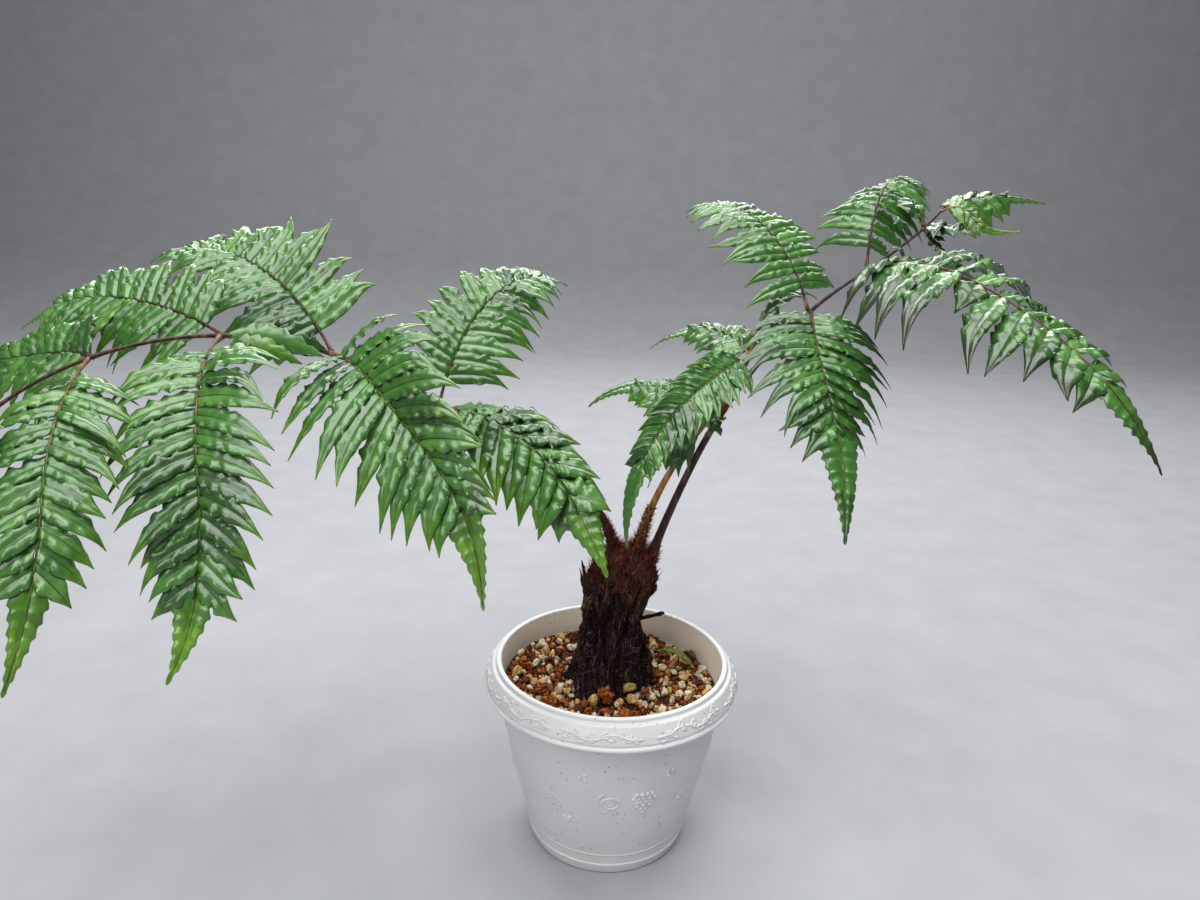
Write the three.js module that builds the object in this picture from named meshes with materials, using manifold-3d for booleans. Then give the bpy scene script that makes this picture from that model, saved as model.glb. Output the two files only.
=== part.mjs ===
// A young tree fern in a white plastic pot: a short fibrous trunk that carries three
// arching fronds. Each frond is a stalk with pinnae on both sides, and each pinna is a
// rib with a row of leaflets on either side and a lobed blade at its tip.
//
// Lengths are millimetres and angles are degrees. +Z is up. A bearing is counted from +X
// towards +Y, and a rise is counted from the horizontal. The origin is the middle of the
// flat underside of the pot. The side that is seen in a front view faces -Y.

import * as THREE from 'three';
import { mergeVertices } from 'three/addons/utils/BufferGeometryUtils.js';
import Module from 'manifold-3d';

// Driving dimensions of the pot and its filling

const GAP = 0.3;
const POT = {
  height: 181,
  wall: 3,
  floor: 4,
  bevel: 1.5,
  baseRadius: 71,
  footHeight: 22,
  footRadius: 76,
  ridgeHeight: 11,
  ridge: 1,
  wallHeight: 152,
  wallRadius: 104,
  bulge: 2.5,
  skirtHeight: 157,
  skirtRadius: 117,
  skirtBead: 2.4,
  bandInset: 6.6,
  bandDrop: 4.8,
  grooveTop: 169,
  lipRadius: 106.5,
  lipInnerRadius: 101.5,
  segments: 40,
};
const SOIL = { middle: 152, edge: 156, edgeDepth: 6, edgeRadius: 98, flatRadius: 52 };
const SOIL_LEVELS = [100, 52, POT.footHeight];

// Driving dimensions of the trunk: its height, its radius at some heights above the soil,
// how far its middle line stands out towards +X and +Y at evenly spaced heights, and the
// ridges of its root fibres

const TRUNK = {
  foot: SOIL.middle + GAP,
  height: 132,
  rings: [
    { up: 0, radius: 42 },
    { up: 6, radius: 38.5 },
    { up: 16, radius: 35 },
    { up: 32, radius: 32.5 },
    { up: 55, radius: 30 },
    { up: 80, radius: 28.5 },
    { up: 104, radius: 29 },
    { up: 118, radius: 27 },
    { up: 127, radius: 21 },
    { up: 132, radius: 12 },
  ],
  sides: 24,
  leanX: [-1.5, -1, 0.5, 5.5, 9],
  leanY: [0, 2, 4],
  ridges: 7,
  ridgeShare: 0.055,
  ridgeTwist: 20,
  hollows: 3,
  hollowShare: 0.033,
  hollowTurn: 40,
};
const STUB = {
  sunk: 22, lean: [68, 82], inset: 9, tipRadius: 1.2, taper: 1.5, sides: 6, pitch: 11,
};
const STUBS = [
  { bearing: 188, up: 94, reach: 28, top: 26, radius: 6 },
  { bearing: 228, up: 92, reach: 26, top: 8, radius: 6.5 },
  { bearing: 290, up: 100, reach: 28, top: 15, radius: 6 },
  { bearing: 350, up: 98, reach: 30, top: 15, radius: 6.5 },
  { bearing: 40, up: 100, reach: 29, top: 24, radius: 6 },
  { bearing: 95, up: 102, reach: 27, top: 20, radius: 6.5 },
  { bearing: 140, up: 98, reach: 30, top: 23, radius: 6 },
];
const TWIG = {
  bearing: 350, up: 68, from: 24, to: 47, rise: 9, radius: 1.8, tipRadius: 1.1, bend: 8, sides: 5,
};

const STALK = {
  sides: 8, swellLength: 16, footPitch: 15, pitch: 28, socketDepth: 40, socketPitch: 8,
};
const ROUTE_STEPS = 120;

// Driving dimensions of the fronds. A stalk runs from its start over the given length while
// its rise turns evenly through the listed values, and is cut into pieces at the given
// places. A pinna leaves the stalk at a distance from the stalk's foot. Its pitch is the
// spacing of its leaflets, first is the share of its length before them, and side is the
// bearing and the rise that they lie along, where these differ from the usual ones.

const FRONDS = [
  {
    name: 'left',
    start: [0.5, 4, 277.2],
    length: 568,
    bearing: [208, 205, 216],
    rise: [79, 27, 40, 17, -12, -44],
    radius: [3.4, 1.5],
    swell: 2.4,
    cuts: [223, 398],
    color: 0x3a2019,
    pinnae: [
      {
        name: 'back_1', at: 228, length: 235, leaf: 52, roll: -33, fold: 4, slant: 66,
        bearing: [68, 59], rise: [64, 20, -22], free: 0.8,
      },
      {
        name: 'front_1', at: 230, length: 205, leaf: 56, roll: 62, fold: 12, slant: 56,
        bearing: [-36, -36, -41], rise: [6, -15, -46, -61], free: 0.72,
      },
      {
        name: 'back_2', at: 318, length: 265, leaf: 60, roll: -39, fold: 0, slant: 76,
        bearing: [138, 149], rise: [43, 10, -22], free: 0.78, pitch: 16,
      },
      {
        name: 'front_2', at: 320, length: 245, leaf: 68, roll: 55, fold: -16, slant: 62,
        bearing: [-60, -27, -53], rise: [11, -35, -50, -85], free: 0.7,
      },
      {
        name: 'back_3', at: 393, length: 260, leaf: 50, roll: -49, fold: 3, slant: 64,
        bearing: [146, 155], rise: [15, -3, -30], free: 0.78,
      },
      {
        name: 'front_3', at: 395, length: 245, leaf: 59.5, roll: 28, fold: -11, slant: 71,
        bearing: [-89, -66, -141], rise: [-13, -52, -75, -58], free: 0.76, pitch: 13,
      },
      {
        name: 'back_4', at: 473, length: 245, leaf: 48, roll: -40, fold: 0, slant: 62,
        bearing: [134, 156], rise: [-5, -11, -16], free: 0.78,
      },
      {
        name: 'front_4', at: 476, length: 220, leaf: 46, roll: 1, fold: 3, slant: 69,
        bearing: [-88, -75, -134], rise: [-20, -45, -67, -66], free: 0.7, pitch: 13,
      },
      {
        name: 'back_5', at: 536, length: 185, leaf: 44, roll: -29, fold: 5, slant: 66,
        bearing: [150, 165], rise: [-10, -25, -45], free: 0.78,
      },
      {
        name: 'front_5', at: 539, length: 180, leaf: 44, roll: 16, fold: 5, slant: 66,
        bearing: [-84, -104], rise: [-20, -52, -74], free: 0.74,
      },
      {
        name: 'end', at: 568, length: 190, leaf: 40, roll: -2, fold: 12, slant: 62,
        bearing: [210, 205], rise: [-38, -52, -66], free: 0.72,
      },
    ],
  },
  {
    name: 'middle',
    start: [18.4, 4.4, 278.2],
    length: 230,
    bearing: [-12, 6],
    rise: [81, 65, 52, 80],
    radius: [3.6, 1.4],
    swell: 2.6,
    cuts: [],
    color: 0x7a5a2c,
    pinnae: [
      {
        name: 'back_1', at: 128, length: 160, leaf: 27, roll: 38, fold: 6, slant: 65,
        bearing: [93, 177], rise: [26, 5, -46], free: 0.62,
      },
      {
        name: 'front_1', at: 132, length: 110, leaf: 28, roll: 29, fold: 8, slant: 65,
        bearing: [-122, -110], rise: [11, -12, -35], free: 0.6,
      },
      {
        name: 'front_2', at: 206, length: 225, leaf: 30, roll: 128, fold: 13, slant: 55,
        bearing: [-122, -138, -130], rise: [0, -22, -51, -104], free: 0.7,
        pitch: 11, side: [-30, 20],
      },
      {
        name: 'back_2', at: 208, length: 150, leaf: 29, roll: 48, fold: 10, slant: 68,
        bearing: [103, 146], rise: [19, -3, -42], free: 0.62,
      },
      {
        name: 'end', at: 230, length: 110, leaf: 28, roll: 3, fold: 15, slant: 62,
        bearing: [60, 40], rise: [50, 10, -30], free: 0.6,
      },
    ],
  },
  {
    name: 'right',
    start: [30.5, 8.2, 271.4],
    length: 416,
    bearing: [0, -1, -8, 6, 46],
    rise: [73, 67, 55, 34, 32],
    radius: [3.8, 1.3],
    swell: 2.2,
    cuts: [206],
    color: 0x2c1c24,
    pinnae: [
      {
        name: 'back_1', at: 263, length: 235, leaf: 51, roll: 43, fold: 6, slant: 78,
        bearing: [133, 101], rise: [69, 13, -19], free: 0.78,
      },
      {
        name: 'front_1', at: 266, length: 200, leaf: 66, roll: -45, fold: 5, slant: 76,
        bearing: [-95, -65, -103], rise: [-31, -62, -55], free: 0.55, pitch: 10.5, first: 0.01,
      },
      {
        name: 'back_2', at: 320, length: 210, leaf: 50, roll: 31, fold: 32, slant: 72,
        bearing: [73, 47], rise: [70, 14, -25], free: 0.78,
      },
      {
        name: 'front_2', at: 330, length: 284, leaf: 72, roll: -31, fold: 7, slant: 84,
        bearing: [-66, -23], rise: [13, -19, -38, -63], free: 0.74, pitch: 21,
      },
      {
        name: 'back_3', at: 384, length: 50, leaf: 24, roll: 40, fold: 10, slant: 66,
        bearing: [110, 80], rise: [58, 24, -10], free: 0.6,
      },
      {
        name: 'front_3', at: 380, length: 46, leaf: 25, roll: -30, fold: 6, slant: 60,
        bearing: [-48, -30], rise: [24, -6, -36], free: 0.6,
      },
      {
        name: 'front_4', at: 406, length: 74, leaf: 16, roll: 12, fold: 8, slant: 58,
        bearing: [-12, 10], rise: [36, -52, -8, 10], free: 0.5, pitch: 8,
      },
      {
        name: 'end', at: 416, length: 112, leaf: 30, roll: 30, fold: 30, slant: 64,
        bearing: [32, 10], rise: [18, 2, -12], free: 0.6,
      },
    ],
  },
];

// Driving dimensions that all pinnae share: their leaflets' spacing and arch, how the
// leaflets turn forward and shorten along the rib, and the width and lobes of the blade at
// the tip, whose half width is a share of the longest leaflet

const PINNA = {
  firstLeaf: 0.07,
  leafPitch: 14.5,
  slantTurn: 15,
  leastSlant: 52,
  arch: 0.05,
  sag: 0.18,
  baseShare: 0.5,
  widest: 0.4,
  widthShare: 0.82,
  rootInset: 0.8,
  longestAt: 0.25,
  firstShort: 0.22,
  lastShort: 0.85,
  shortening: 1.5,
  leafShares: 0.8,
  ribHalf: 1.5,
  neck: 3,
  widening: 14,
  bladeShare: 0.165,
  tipHalf: 0.8,
  lobePitch: 9,
  lobeReach: 2.8,
  lobeShrink: 0.6,
  thick: 1.4,
  tipThick: 0.8,
  leafThick: 0.9,
  clearance: 2.5,
  clearShares: [0.3, 0.6, 0.8],
  clearStep: 4,
};

const FINISH = {
  pot: { color: 0xe6e7e3, roughness: 0.45 },
  soil: { color: 0xa66a41, roughness: 0.95 },
  trunk: { color: 0x35241c, roughness: 0.95 },
  stalk: { roughness: 0.6 },
  leaf: { color: 0x3f7f35, roughness: 0.4 },
};
const WELD = 1e-3;

const wasm = await Module();
wasm.setup();

const UP = new THREE.Vector3(0, 0, 1);

function vector(x, y, z) {
  return new THREE.Vector3(x, y, z);
}

function direction(bearing, rise) {
  const b = THREE.MathUtils.degToRad(bearing);
  const r = THREE.MathUtils.degToRad(rise);
  return vector(Math.cos(r) * Math.cos(b), Math.cos(r) * Math.sin(b), Math.sin(r));
}

// The value at share s of the way through a list of evenly spaced values
function through(values, s) {
  const x = THREE.MathUtils.clamp(s, 0, 1) * (values.length - 1);
  const i = Math.min(Math.floor(x), values.length - 2);
  return THREE.MathUtils.lerp(values[i], values[i + 1], x - i);
}

// A route that starts at a point and turns evenly through the listed bearings and rises.
// route.at(distance) gives its point and its direction there.
function makeRoute(start, length, bearings, rises) {
  const steps = ROUTE_STEPS;
  const points = [start.clone()];
  for (let i = 0; i < steps; i += 1) {
    const s = (i + 0.5) / steps;
    const step = direction(through(bearings, s), through(rises, s)).multiplyScalar(length / steps);
    points.push(points[i].clone().add(step));
  }
  const at = (distance) => {
    const x = THREE.MathUtils.clamp((distance / length) * steps, 0, steps);
    const i = Math.min(Math.floor(x), steps - 1);
    const s = x / steps;
    return {
      point: points[i].clone().lerp(points[i + 1], x - i),
      along: direction(through(bearings, s), through(rises, s)),
    };
  };
  return { length, at };
}

// A closed mesh from vertices and faces, given as triangles or quads turned outwards
function closedGeometry(vertices, faces) {
  const index = [];
  for (const face of faces) {
    for (let i = 1; i + 1 < face.length; i += 1) {
      index.push(face[0], face[i], face[i + 1]);
    }
  }
  const geometry = new THREE.BufferGeometry();
  const positions = vertices.flatMap((v) => [v.x, v.y, v.z]);
  geometry.setAttribute('position', new THREE.Float32BufferAttribute(positions, 3));
  geometry.setIndex(index);
  return geometry;
}

// A closed skin over rings of points that run anticlockwise as seen from the last ring
function skin(rings) {
  const n = rings[0].length;
  const vertices = rings.flat();
  const faces = [];
  for (let k = 0; k + 1 < rings.length; k += 1) {
    for (let i = 0; i < n; i += 1) {
      const j = (i + 1) % n;
      faces.push([k * n + i, k * n + j, (k + 1) * n + j, (k + 1) * n + i]);
    }
  }
  const last = (rings.length - 1) * n;
  const turn = Array.from({ length: n }, (_, i) => i);
  faces.push(turn.slice().reverse());
  faces.push(turn.map((i) => last + i));
  return closedGeometry(vertices, faces);
}

function toSolid(geometry) {
  return new wasm.Manifold(
    new wasm.Mesh({
      numProp: 3,
      vertProperties: Float32Array.from(geometry.attributes.position.array),
      triVerts: Uint32Array.from(geometry.index.array),
    }),
  );
}

function fromSolid(solid) {
  const mesh = solid.getMesh();
  const geometry = new THREE.BufferGeometry();
  geometry.setAttribute('position', new THREE.BufferAttribute(mesh.vertProperties, 3));
  geometry.setIndex(new THREE.BufferAttribute(mesh.triVerts, 1));
  return geometry;
}

const fern = new THREE.Group();

function addPart(name, geometry, finish) {
  geometry.computeVertexNormals();
  const material = new THREE.MeshStandardMaterial({ ...finish, metalness: 0 });
  const mesh = new THREE.Mesh(geometry, material);
  mesh.name = name;
  fern.add(mesh);
}

// A closed solid of revolution about Z from a profile of [radius, height] pairs that starts
// and ends on the axis
function turned(profile) {
  const points = profile.map(([radius, height]) => new THREE.Vector2(radius, height));
  const geometry = new THREE.LatheGeometry(points, POT.segments);
  geometry.deleteAttribute('normal');
  geometry.deleteAttribute('uv');
  geometry.rotateX(Math.PI / 2);
  const merged = mergeVertices(geometry, WELD);
  const index = [];
  const old = merged.index.array;
  for (let i = 0; i < old.length; i += 3) {
    const [a, b, c] = [old[i], old[i + 1], old[i + 2]];
    if (a !== b && b !== c && c !== a) {
      index.push(a, b, c);
    }
  }
  merged.setIndex(index);
  return merged;
}

// Radius of the pot's outer wall below the rim: straight over the foot band, and slightly
// rounded above it
function wallRadius(height) {
  if (height < POT.footHeight) {
    const s = height / POT.footHeight;
    return THREE.MathUtils.lerp(POT.baseRadius + POT.bevel, POT.footRadius, s);
  }
  const s = (height - POT.footHeight) / (POT.wallHeight - POT.footHeight);
  const straight = THREE.MathUtils.lerp(POT.footRadius, POT.wallRadius, s);
  return straight + POT.bulge * Math.sin(Math.PI * s);
}

function innerRadius(height) {
  return Math.min(wallRadius(height) - POT.wall, POT.lipInnerRadius - GAP);
}

// The foot band with its two ridges, the wall, the skirt that hangs clear of the wall under
// the rim, the sloping rim band, the lip, and the inside down to the floor
function buildPot() {
  const { baseRadius, bevel, ridgeHeight, ridge, footHeight, wallHeight } = POT;
  const foot = [
    [0, 0],
    [baseRadius, 0],
    [baseRadius + bevel, bevel],
    [wallRadius(ridgeHeight) + ridge, ridgeHeight],
    [wallRadius(ridgeHeight + ridge), ridgeHeight + ridge],
    [wallRadius(footHeight - ridge) - ridge / 2, footHeight - ridge],
  ];
  const outside = [];
  const steps = 5;
  for (let k = 0; k <= steps; k += 1) {
    const height = THREE.MathUtils.lerp(footHeight, wallHeight, k / steps);
    outside.push([wallRadius(height), height]);
  }
  const { skirtHeight, skirtRadius, skirtBead, bandInset, bandDrop, grooveTop, wall } = POT;
  const skirt = [
    [POT.wallRadius, grooveTop],
    [POT.wallRadius + wall, grooveTop],
    [skirtRadius - wall, skirtHeight + ridge],
    [skirtRadius - skirtBead, skirtHeight - bevel],
    [skirtRadius, skirtHeight - bevel / 2],
    [skirtRadius, skirtHeight + skirtBead],
    [skirtRadius - skirtBead, grooveTop - ridge],
    [skirtRadius - bandInset, POT.height - bandDrop],
  ];
  const lip = [
    [POT.lipRadius, POT.height - ridge],
    [POT.lipRadius - ridge, POT.height],
    [POT.lipInnerRadius + ridge, POT.height],
    [POT.lipInnerRadius, POT.height - ridge],
  ];
  const inside = [];
  for (const height of [wallHeight, ...SOIL_LEVELS, POT.floor + wall]) {
    inside.push([innerRadius(height), height]);
  }
  inside.push([baseRadius - wall - ridge, POT.floor], [0, POT.floor]);
  const profile = [...foot, ...outside, ...skirt, ...lip, ...inside];
  addPart('pot', turned(profile), FINISH.pot);
}

// The filling of granules ends below the lip and has a flat place for the trunk's foot
function buildSoil() {
  const bottom = POT.floor + GAP;
  const profile = [[0, bottom], [POT.baseRadius - POT.wall - 2 * POT.ridge, bottom]];
  const lowest = POT.floor + POT.wall + POT.ridge;
  const highest = SOIL.edge - SOIL.edgeDepth;
  for (const height of [lowest, ...SOIL_LEVELS.toReversed(), highest]) {
    profile.push([innerRadius(height) - 2 * GAP, height]);
  }
  profile.push([SOIL.edgeRadius, SOIL.edge], [SOIL.flatRadius, SOIL.middle], [0, SOIL.middle]);
  addPart('soil', turned(profile), FINISH.soil);
}

function sine(degrees) {
  return Math.sin(THREE.MathUtils.degToRad(degrees));
}

// A point at a height above the soil, and at a bearing and a reach from the trunk's middle
function trunkPoint(up, bearing, reach) {
  const share = up / TRUNK.height;
  const middle = vector(through(TRUNK.leanX, share), through(TRUNK.leanY, share), TRUNK.foot + up);
  return middle.addScaledVector(direction(bearing, 0), reach);
}

function trunkBody() {
  const rings = TRUNK.rings.map(({ up, radius }, k) => {
    const ring = [];
    for (let i = 0; i < TRUNK.sides; i += 1) {
      const bearing = (360 * i) / TRUNK.sides;
      const ridge = TRUNK.ridgeShare * sine(bearing * TRUNK.ridges + TRUNK.ridgeTwist * k);
      const hollow = TRUNK.hollowShare * sine(bearing * TRUNK.hollows - TRUNK.hollowTurn);
      ring.push(trunkPoint(up, bearing, radius * (1 + ridge - hollow)));
    }
    return ring;
  });
  return skin(rings);
}

// A closed tapering rod over a route, with flat ends square to the route
function rod(route, from, to, radiusAt, sides, pitch) {
  const count = Math.max(1, Math.round((to - from) / pitch));
  const rings = [];
  for (let k = 0; k <= count; k += 1) {
    const distance = THREE.MathUtils.lerp(from, to, k / count);
    const { point, along } = route.at(distance);
    const across = UP.clone().cross(along).normalize();
    const over = along.clone().cross(across);
    const ring = [];
    for (let i = 0; i < sides; i += 1) {
      const turn = (2 * Math.PI * i) / sides;
      const radius = radiusAt(distance);
      ring.push(
        point
          .clone()
          .addScaledVector(across, radius * Math.cos(turn))
          .addScaledVector(over, radius * Math.sin(turn)),
      );
    }
    rings.push(ring);
  }
  return skin(rings);
}

// The torn foot of an old stalk, which stands up out of the trunk's shoulder
function stub({ bearing, up, reach, top, radius }) {
  const foot = trunkPoint(up - STUB.sunk, bearing, reach - STUB.inset);
  const length = top + STUB.sunk;
  const route = makeRoute(foot, length, [bearing, bearing], STUB.lean);
  const taper = (distance) =>
    THREE.MathUtils.lerp(radius, STUB.tipRadius, (distance / length) ** STUB.taper);
  return rod(route, 0, length, taper, STUB.sides, STUB.pitch);
}

function twig({ bearing, up, from, to, rise, radius, tipRadius, bend, sides }) {
  const foot = trunkPoint(up, bearing, from);
  const length = Math.hypot(to - from, rise);
  const tilt = THREE.MathUtils.radToDeg(Math.atan2(rise, to - from));
  const route = makeRoute(foot, length, [bearing, bearing], [tilt - bend, tilt + bend]);
  const taper = (distance) => THREE.MathUtils.lerp(radius, tipRadius, distance / length);
  return rod(route, 0, length, taper, sides, length / 2);
}

function stalkRoute(frond) {
  return makeRoute(vector(...frond.start), frond.length, frond.bearing, frond.rise);
}

// A stalk tapers evenly and swells towards its foot, where it stands in the crown
function stalkRadius(frond, distance) {
  const [thick, thin] = frond.radius;
  const even = THREE.MathUtils.lerp(thick, thin, distance / frond.length);
  return even + frond.swell * Math.exp(-distance / STALK.swellLength);
}

// The trunk is cut clear of each stalk's foot, so that the foot sits in a socket
function buildTrunk() {
  let solid = toSolid(trunkBody());
  for (const one of STUBS) {
    solid = solid.add(toSolid(stub(one)));
  }
  solid = solid.add(toSolid(twig(TWIG)));
  for (const frond of FRONDS) {
    const widen = 1 / Math.cos(Math.PI / STALK.sides);
    const clear = (distance) => (stalkRadius(frond, distance) + GAP) * widen;
    const foot = stalkRoute(frond).at(0);
    const below = foot.point.addScaledVector(foot.along, -GAP);
    const socket = makeRoute(below, frond.length, frond.bearing, frond.rise);
    const { sides, socketDepth, socketPitch } = STALK;
    solid = solid.subtract(toSolid(rod(socket, 0, socketDepth, clear, sides, socketPitch)));
  }
  addPart('trunk', fromSolid(solid), FINISH.trunk);
}

function buildStalk(frond) {
  const route = stalkRoute(frond);
  const ends = [0, ...frond.cuts, frond.length];
  const finish = { ...FINISH.stalk, color: frond.color };
  for (let k = 0; k + 1 < ends.length; k += 1) {
    const from = ends[k] + (k > 0 ? GAP : 0);
    const name = `${frond.name}_stalk_${k + 1}`;
    const radius = (distance) => stalkRadius(frond, distance);
    const pitch = k > 0 ? STALK.pitch : STALK.footPitch;
    addPart(name, rod(route, from, ends[k + 1], radius, STALK.sides, pitch), finish);
  }
}

// How long a leaflet is at share s of its pinna, as a share of the longest one
function leafShare(s) {
  if (s < PINNA.longestAt) {
    return 1 - PINNA.firstShort * (1 - s / PINNA.longestAt) ** 2;
  }
  const beyond = (s - PINNA.longestAt) / (1 - PINNA.longestAt);
  return 1 - PINNA.lastShort * beyond ** PINNA.shortening;
}

// The place where a pinna starts, so that its rib's end clears the stalk's side. Its leaflets
// lie along the stalk, as the whole frond's do, but for the pinna's own roll about its rib.
function pinnaRoute(stalk, frond, pinna) {
  const { point, along } = stalk.at(pinna.at);
  const away = direction(pinna.bearing[0], pinna.rise[0]);
  const cosine = away.dot(along);
  const crossing = Math.sqrt(1 - cosine * cosine);
  const atEnd = pinna.at === frond.length;
  const endOn = (GAP + PINNA.ribHalf * crossing) / cosine;
  const reach = stalkRadius(frond, pinna.at) + GAP + PINNA.ribHalf * Math.abs(cosine);
  const sideways = reach / crossing;
  const start = point.addScaledVector(away, atEnd ? endOn : sideways);
  const route = makeRoute(start, pinna.length, pinna.bearing, pinna.rise);
  const usual = atEnd ? direction(frond.bearing[0] + 90, 0) : along;
  route.side = pinna.side ? direction(...pinna.side) : usual.clone();
  route.roll = THREE.MathUtils.degToRad(pinna.roll);
  return route;
}

// The frame of a pinna at a distance along it: the direction of its rib, the way across it
// and the way out of its upper face
function pinnaFrame(route, distance) {
  const { point, along } = route.at(distance);
  const across = route.side.clone().addScaledVector(along, -route.side.dot(along)).normalize();
  const first = route.at(0).along;
  if (first.clone().cross(route.side).z < 0) {
    across.negate();
  }
  across.applyAxisAngle(along, route.roll);
  const over = along.clone().cross(across);
  return { point, along, across, over };
}

// The outline of one leaflet beyond its foot: the two points where it is widest and its tip,
// with a point over and under its middle that gives it its thickness
function leaflet(frame, sign, { length, width, slant, fold }) {
  const turn = -sign * THREE.MathUtils.degToRad(fold);
  const out = frame.across.clone().applyAxisAngle(frame.along, turn);
  const way = frame.along
    .clone()
    .multiplyScalar(sine(90 - slant))
    .addScaledVector(out, sign * sine(slant));
  const wide = frame.along.clone().addScaledVector(way, -frame.along.dot(way)).normalize();
  const at = (u) =>
    frame.point
      .clone()
      .addScaledVector(way, length * u)
      .addScaledVector(frame.over, length * PINNA.arch * 4 * u * (1 - u))
      .addScaledVector(UP, -length * PINNA.sag * u * u);
  const middle = at(PINNA.widest);
  return {
    low: middle.clone().addScaledVector(wide, -width / 2),
    high: middle.clone().addScaledVector(wide, width / 2),
    tip: at(1),
    above: middle.clone().addScaledVector(frame.over, PINNA.leafThick / 2),
    below: middle.clone().addScaledVector(frame.over, -PINNA.leafThick / 2),
  };
}

// One pinna as a closed blade: a box-shaped rib that widens into the lobed tip, with the
// leaflets growing out of its sides
function pinnaBlade(route, pinna, keep) {
  const vertices = [];
  const faces = [];
  const add = (v) => vertices.push(v) - 1;
  const stations = [];
  const tipFrom = pinna.free * pinna.length;
  const { first = PINNA.firstLeaf, pitch: wanted = PINNA.leafPitch } = pinna;
  const leavesFrom = first * pinna.length;
  const pairs = Math.round((tipFrom - leavesFrom) / wanted);
  const pitch = (tipFrom - leavesFrom) / pairs;
  stations.push({ distance: 0, kind: 'bare' });
  for (let k = 0; k < pairs; k += 1) {
    const middle = leavesFrom + pitch * (k + 0.5);
    const half = (pitch * PINNA.baseShare) / 2;
    stations.push({ distance: middle - half, kind: 'leaf' });
    stations.push({ distance: middle + half, kind: 'bare' });
  }
  const lobes = Math.round((pinna.length - tipFrom) / PINNA.lobePitch) - 1;
  const lobePitch = (pinna.length - tipFrom) / (lobes + 1);
  for (let k = 0; k <= lobes; k += 1) {
    const kind = k > 0 && k < lobes ? 'lobe' : 'bare';
    stations.push({ distance: tipFrom + lobePitch * k, kind });
  }
  stations.push({ distance: pinna.length, kind: 'last' });

  // The rib widens from its neck, just before the tip, and the blade narrows to its point
  const bladeHalf = PINNA.bladeShare * pinna.leaf;
  const halfAt = (distance) => {
    const s = Math.max(0, (distance - tipFrom) / (pinna.length - tipFrom));
    const full = THREE.MathUtils.lerp(bladeHalf, PINNA.tipHalf, s);
    const past = distance - tipFrom + PINNA.neck;
    const widened = THREE.MathUtils.clamp(past / PINNA.widening, 0, 1);
    return THREE.MathUtils.lerp(PINNA.ribHalf, full, widened);
  };
  const ringAt = (distance) => {
    const frame = pinnaFrame(route, distance);
    const half = halfAt(distance);
    const share = distance / pinna.length;
    const thick = THREE.MathUtils.lerp(PINNA.thick, PINNA.tipThick, share) / 2;
    const corner = (sign, over) =>
      add(
        frame.point
          .clone()
          .addScaledVector(frame.across, sign * half)
          .addScaledVector(frame.over, over * thick),
      );
    return { frame, rt: corner(1, 1), rb: corner(1, -1), lt: corner(-1, 1), lb: corner(-1, -1) };
  };
  const rings = stations.map(({ distance }) => ringAt(distance));
  faces.push([rings[0].rb, rings[0].lb, rings[0].lt, rings[0].rt]);
  for (let k = 0; k + 1 < rings.length; k += 1) {
    const a = rings[k];
    const b = rings[k + 1];
    faces.push([a.lt, b.lt, b.rt, a.rt], [a.rb, b.rb, b.lb, a.lb]);
    const middle = (stations[k].distance + stations[k + 1].distance) / 2;
    for (const sign of [1, -1]) {
      // Corners in turn: the near and far top and bottom edges of this side of the rib
      const [nt, nb, ft, fb] = sign > 0 ? [a.rt, a.rb, b.rt, b.rb] : [a.lt, a.lb, b.lt, b.lb];
      const side = (...face) => faces.push(sign > 0 ? face.reverse() : face);
      const frame = pinnaFrame(route, middle);
      frame.point.addScaledVector(frame.across, sign * halfAt(middle) * PINNA.rootInset);
      if (stations[k].kind === 'leaf') {
        const share = middle / tipFrom;
        const turned = pinna.slant + PINNA.slantTurn * (1 - 2 * share);
        const slant = Math.max(turned, PINNA.leastSlant);
        const leaf = leaflet(frame, sign, {
          length: pinna.leaf * leafShare(PINNA.leafShares * share),
          width: pitch * PINNA.widthShare * sine(slant),
          slant,
          fold: pinna.fold,
        });
        if (keep(frame.point, leaf)) {
          const [low, high, tip] = [add(leaf.low), add(leaf.high), add(leaf.tip)];
          const [above, below] = [add(leaf.above), add(leaf.below)];
          side(nt, low, above);
          side(low, tip, above);
          side(tip, high, above);
          side(high, ft, above);
          side(ft, nt, above);
          side(low, nb, below);
          side(tip, low, below);
          side(high, tip, below);
          side(fb, high, below);
          side(nb, fb, below);
          side(nt, nb, low);
          side(fb, ft, high);
          continue;
        }
      }
      if (stations[k].kind === 'lobe') {
        const far = route.at(stations[k + 1].distance).point;
        const share = (middle - tipFrom) / (pinna.length - tipFrom);
        const reach = PINNA.lobeReach * (1 - PINNA.lobeShrink * share);
        const out = far.addScaledVector(frame.across, sign * (halfAt(middle) + reach));
        const apex = add(out.addScaledVector(UP, -reach * PINNA.sag));
        side(nt, apex, ft);
        side(nb, fb, apex);
        side(nt, nb, apex);
        side(fb, ft, apex);
        continue;
      }
      side(nt, nb, fb, ft);
    }
  }
  const last = rings[rings.length - 1];
  faces.push([last.lb, last.rb, last.rt, last.lt]);
  return closedGeometry(vertices, faces);
}

// Whether a leaflet stays clear of all the stalks
function clearOfStalks(root, leaf) {
  const samples = [leaf.low, leaf.high, leaf.tip];
  for (const share of PINNA.clearShares) {
    samples.push(root.clone().lerp(leaf.tip, share));
  }
  return FRONDS.every((frond) => {
    const stalk = stalkRoute(frond);
    for (let distance = 0; distance <= frond.length; distance += PINNA.clearStep) {
      const { point } = stalk.at(distance);
      const reach = stalkRadius(frond, distance) + PINNA.clearance;
      if (samples.some((sample) => sample.distanceTo(point) < reach)) {
        return false;
      }
    }
    return true;
  });
}

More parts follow.
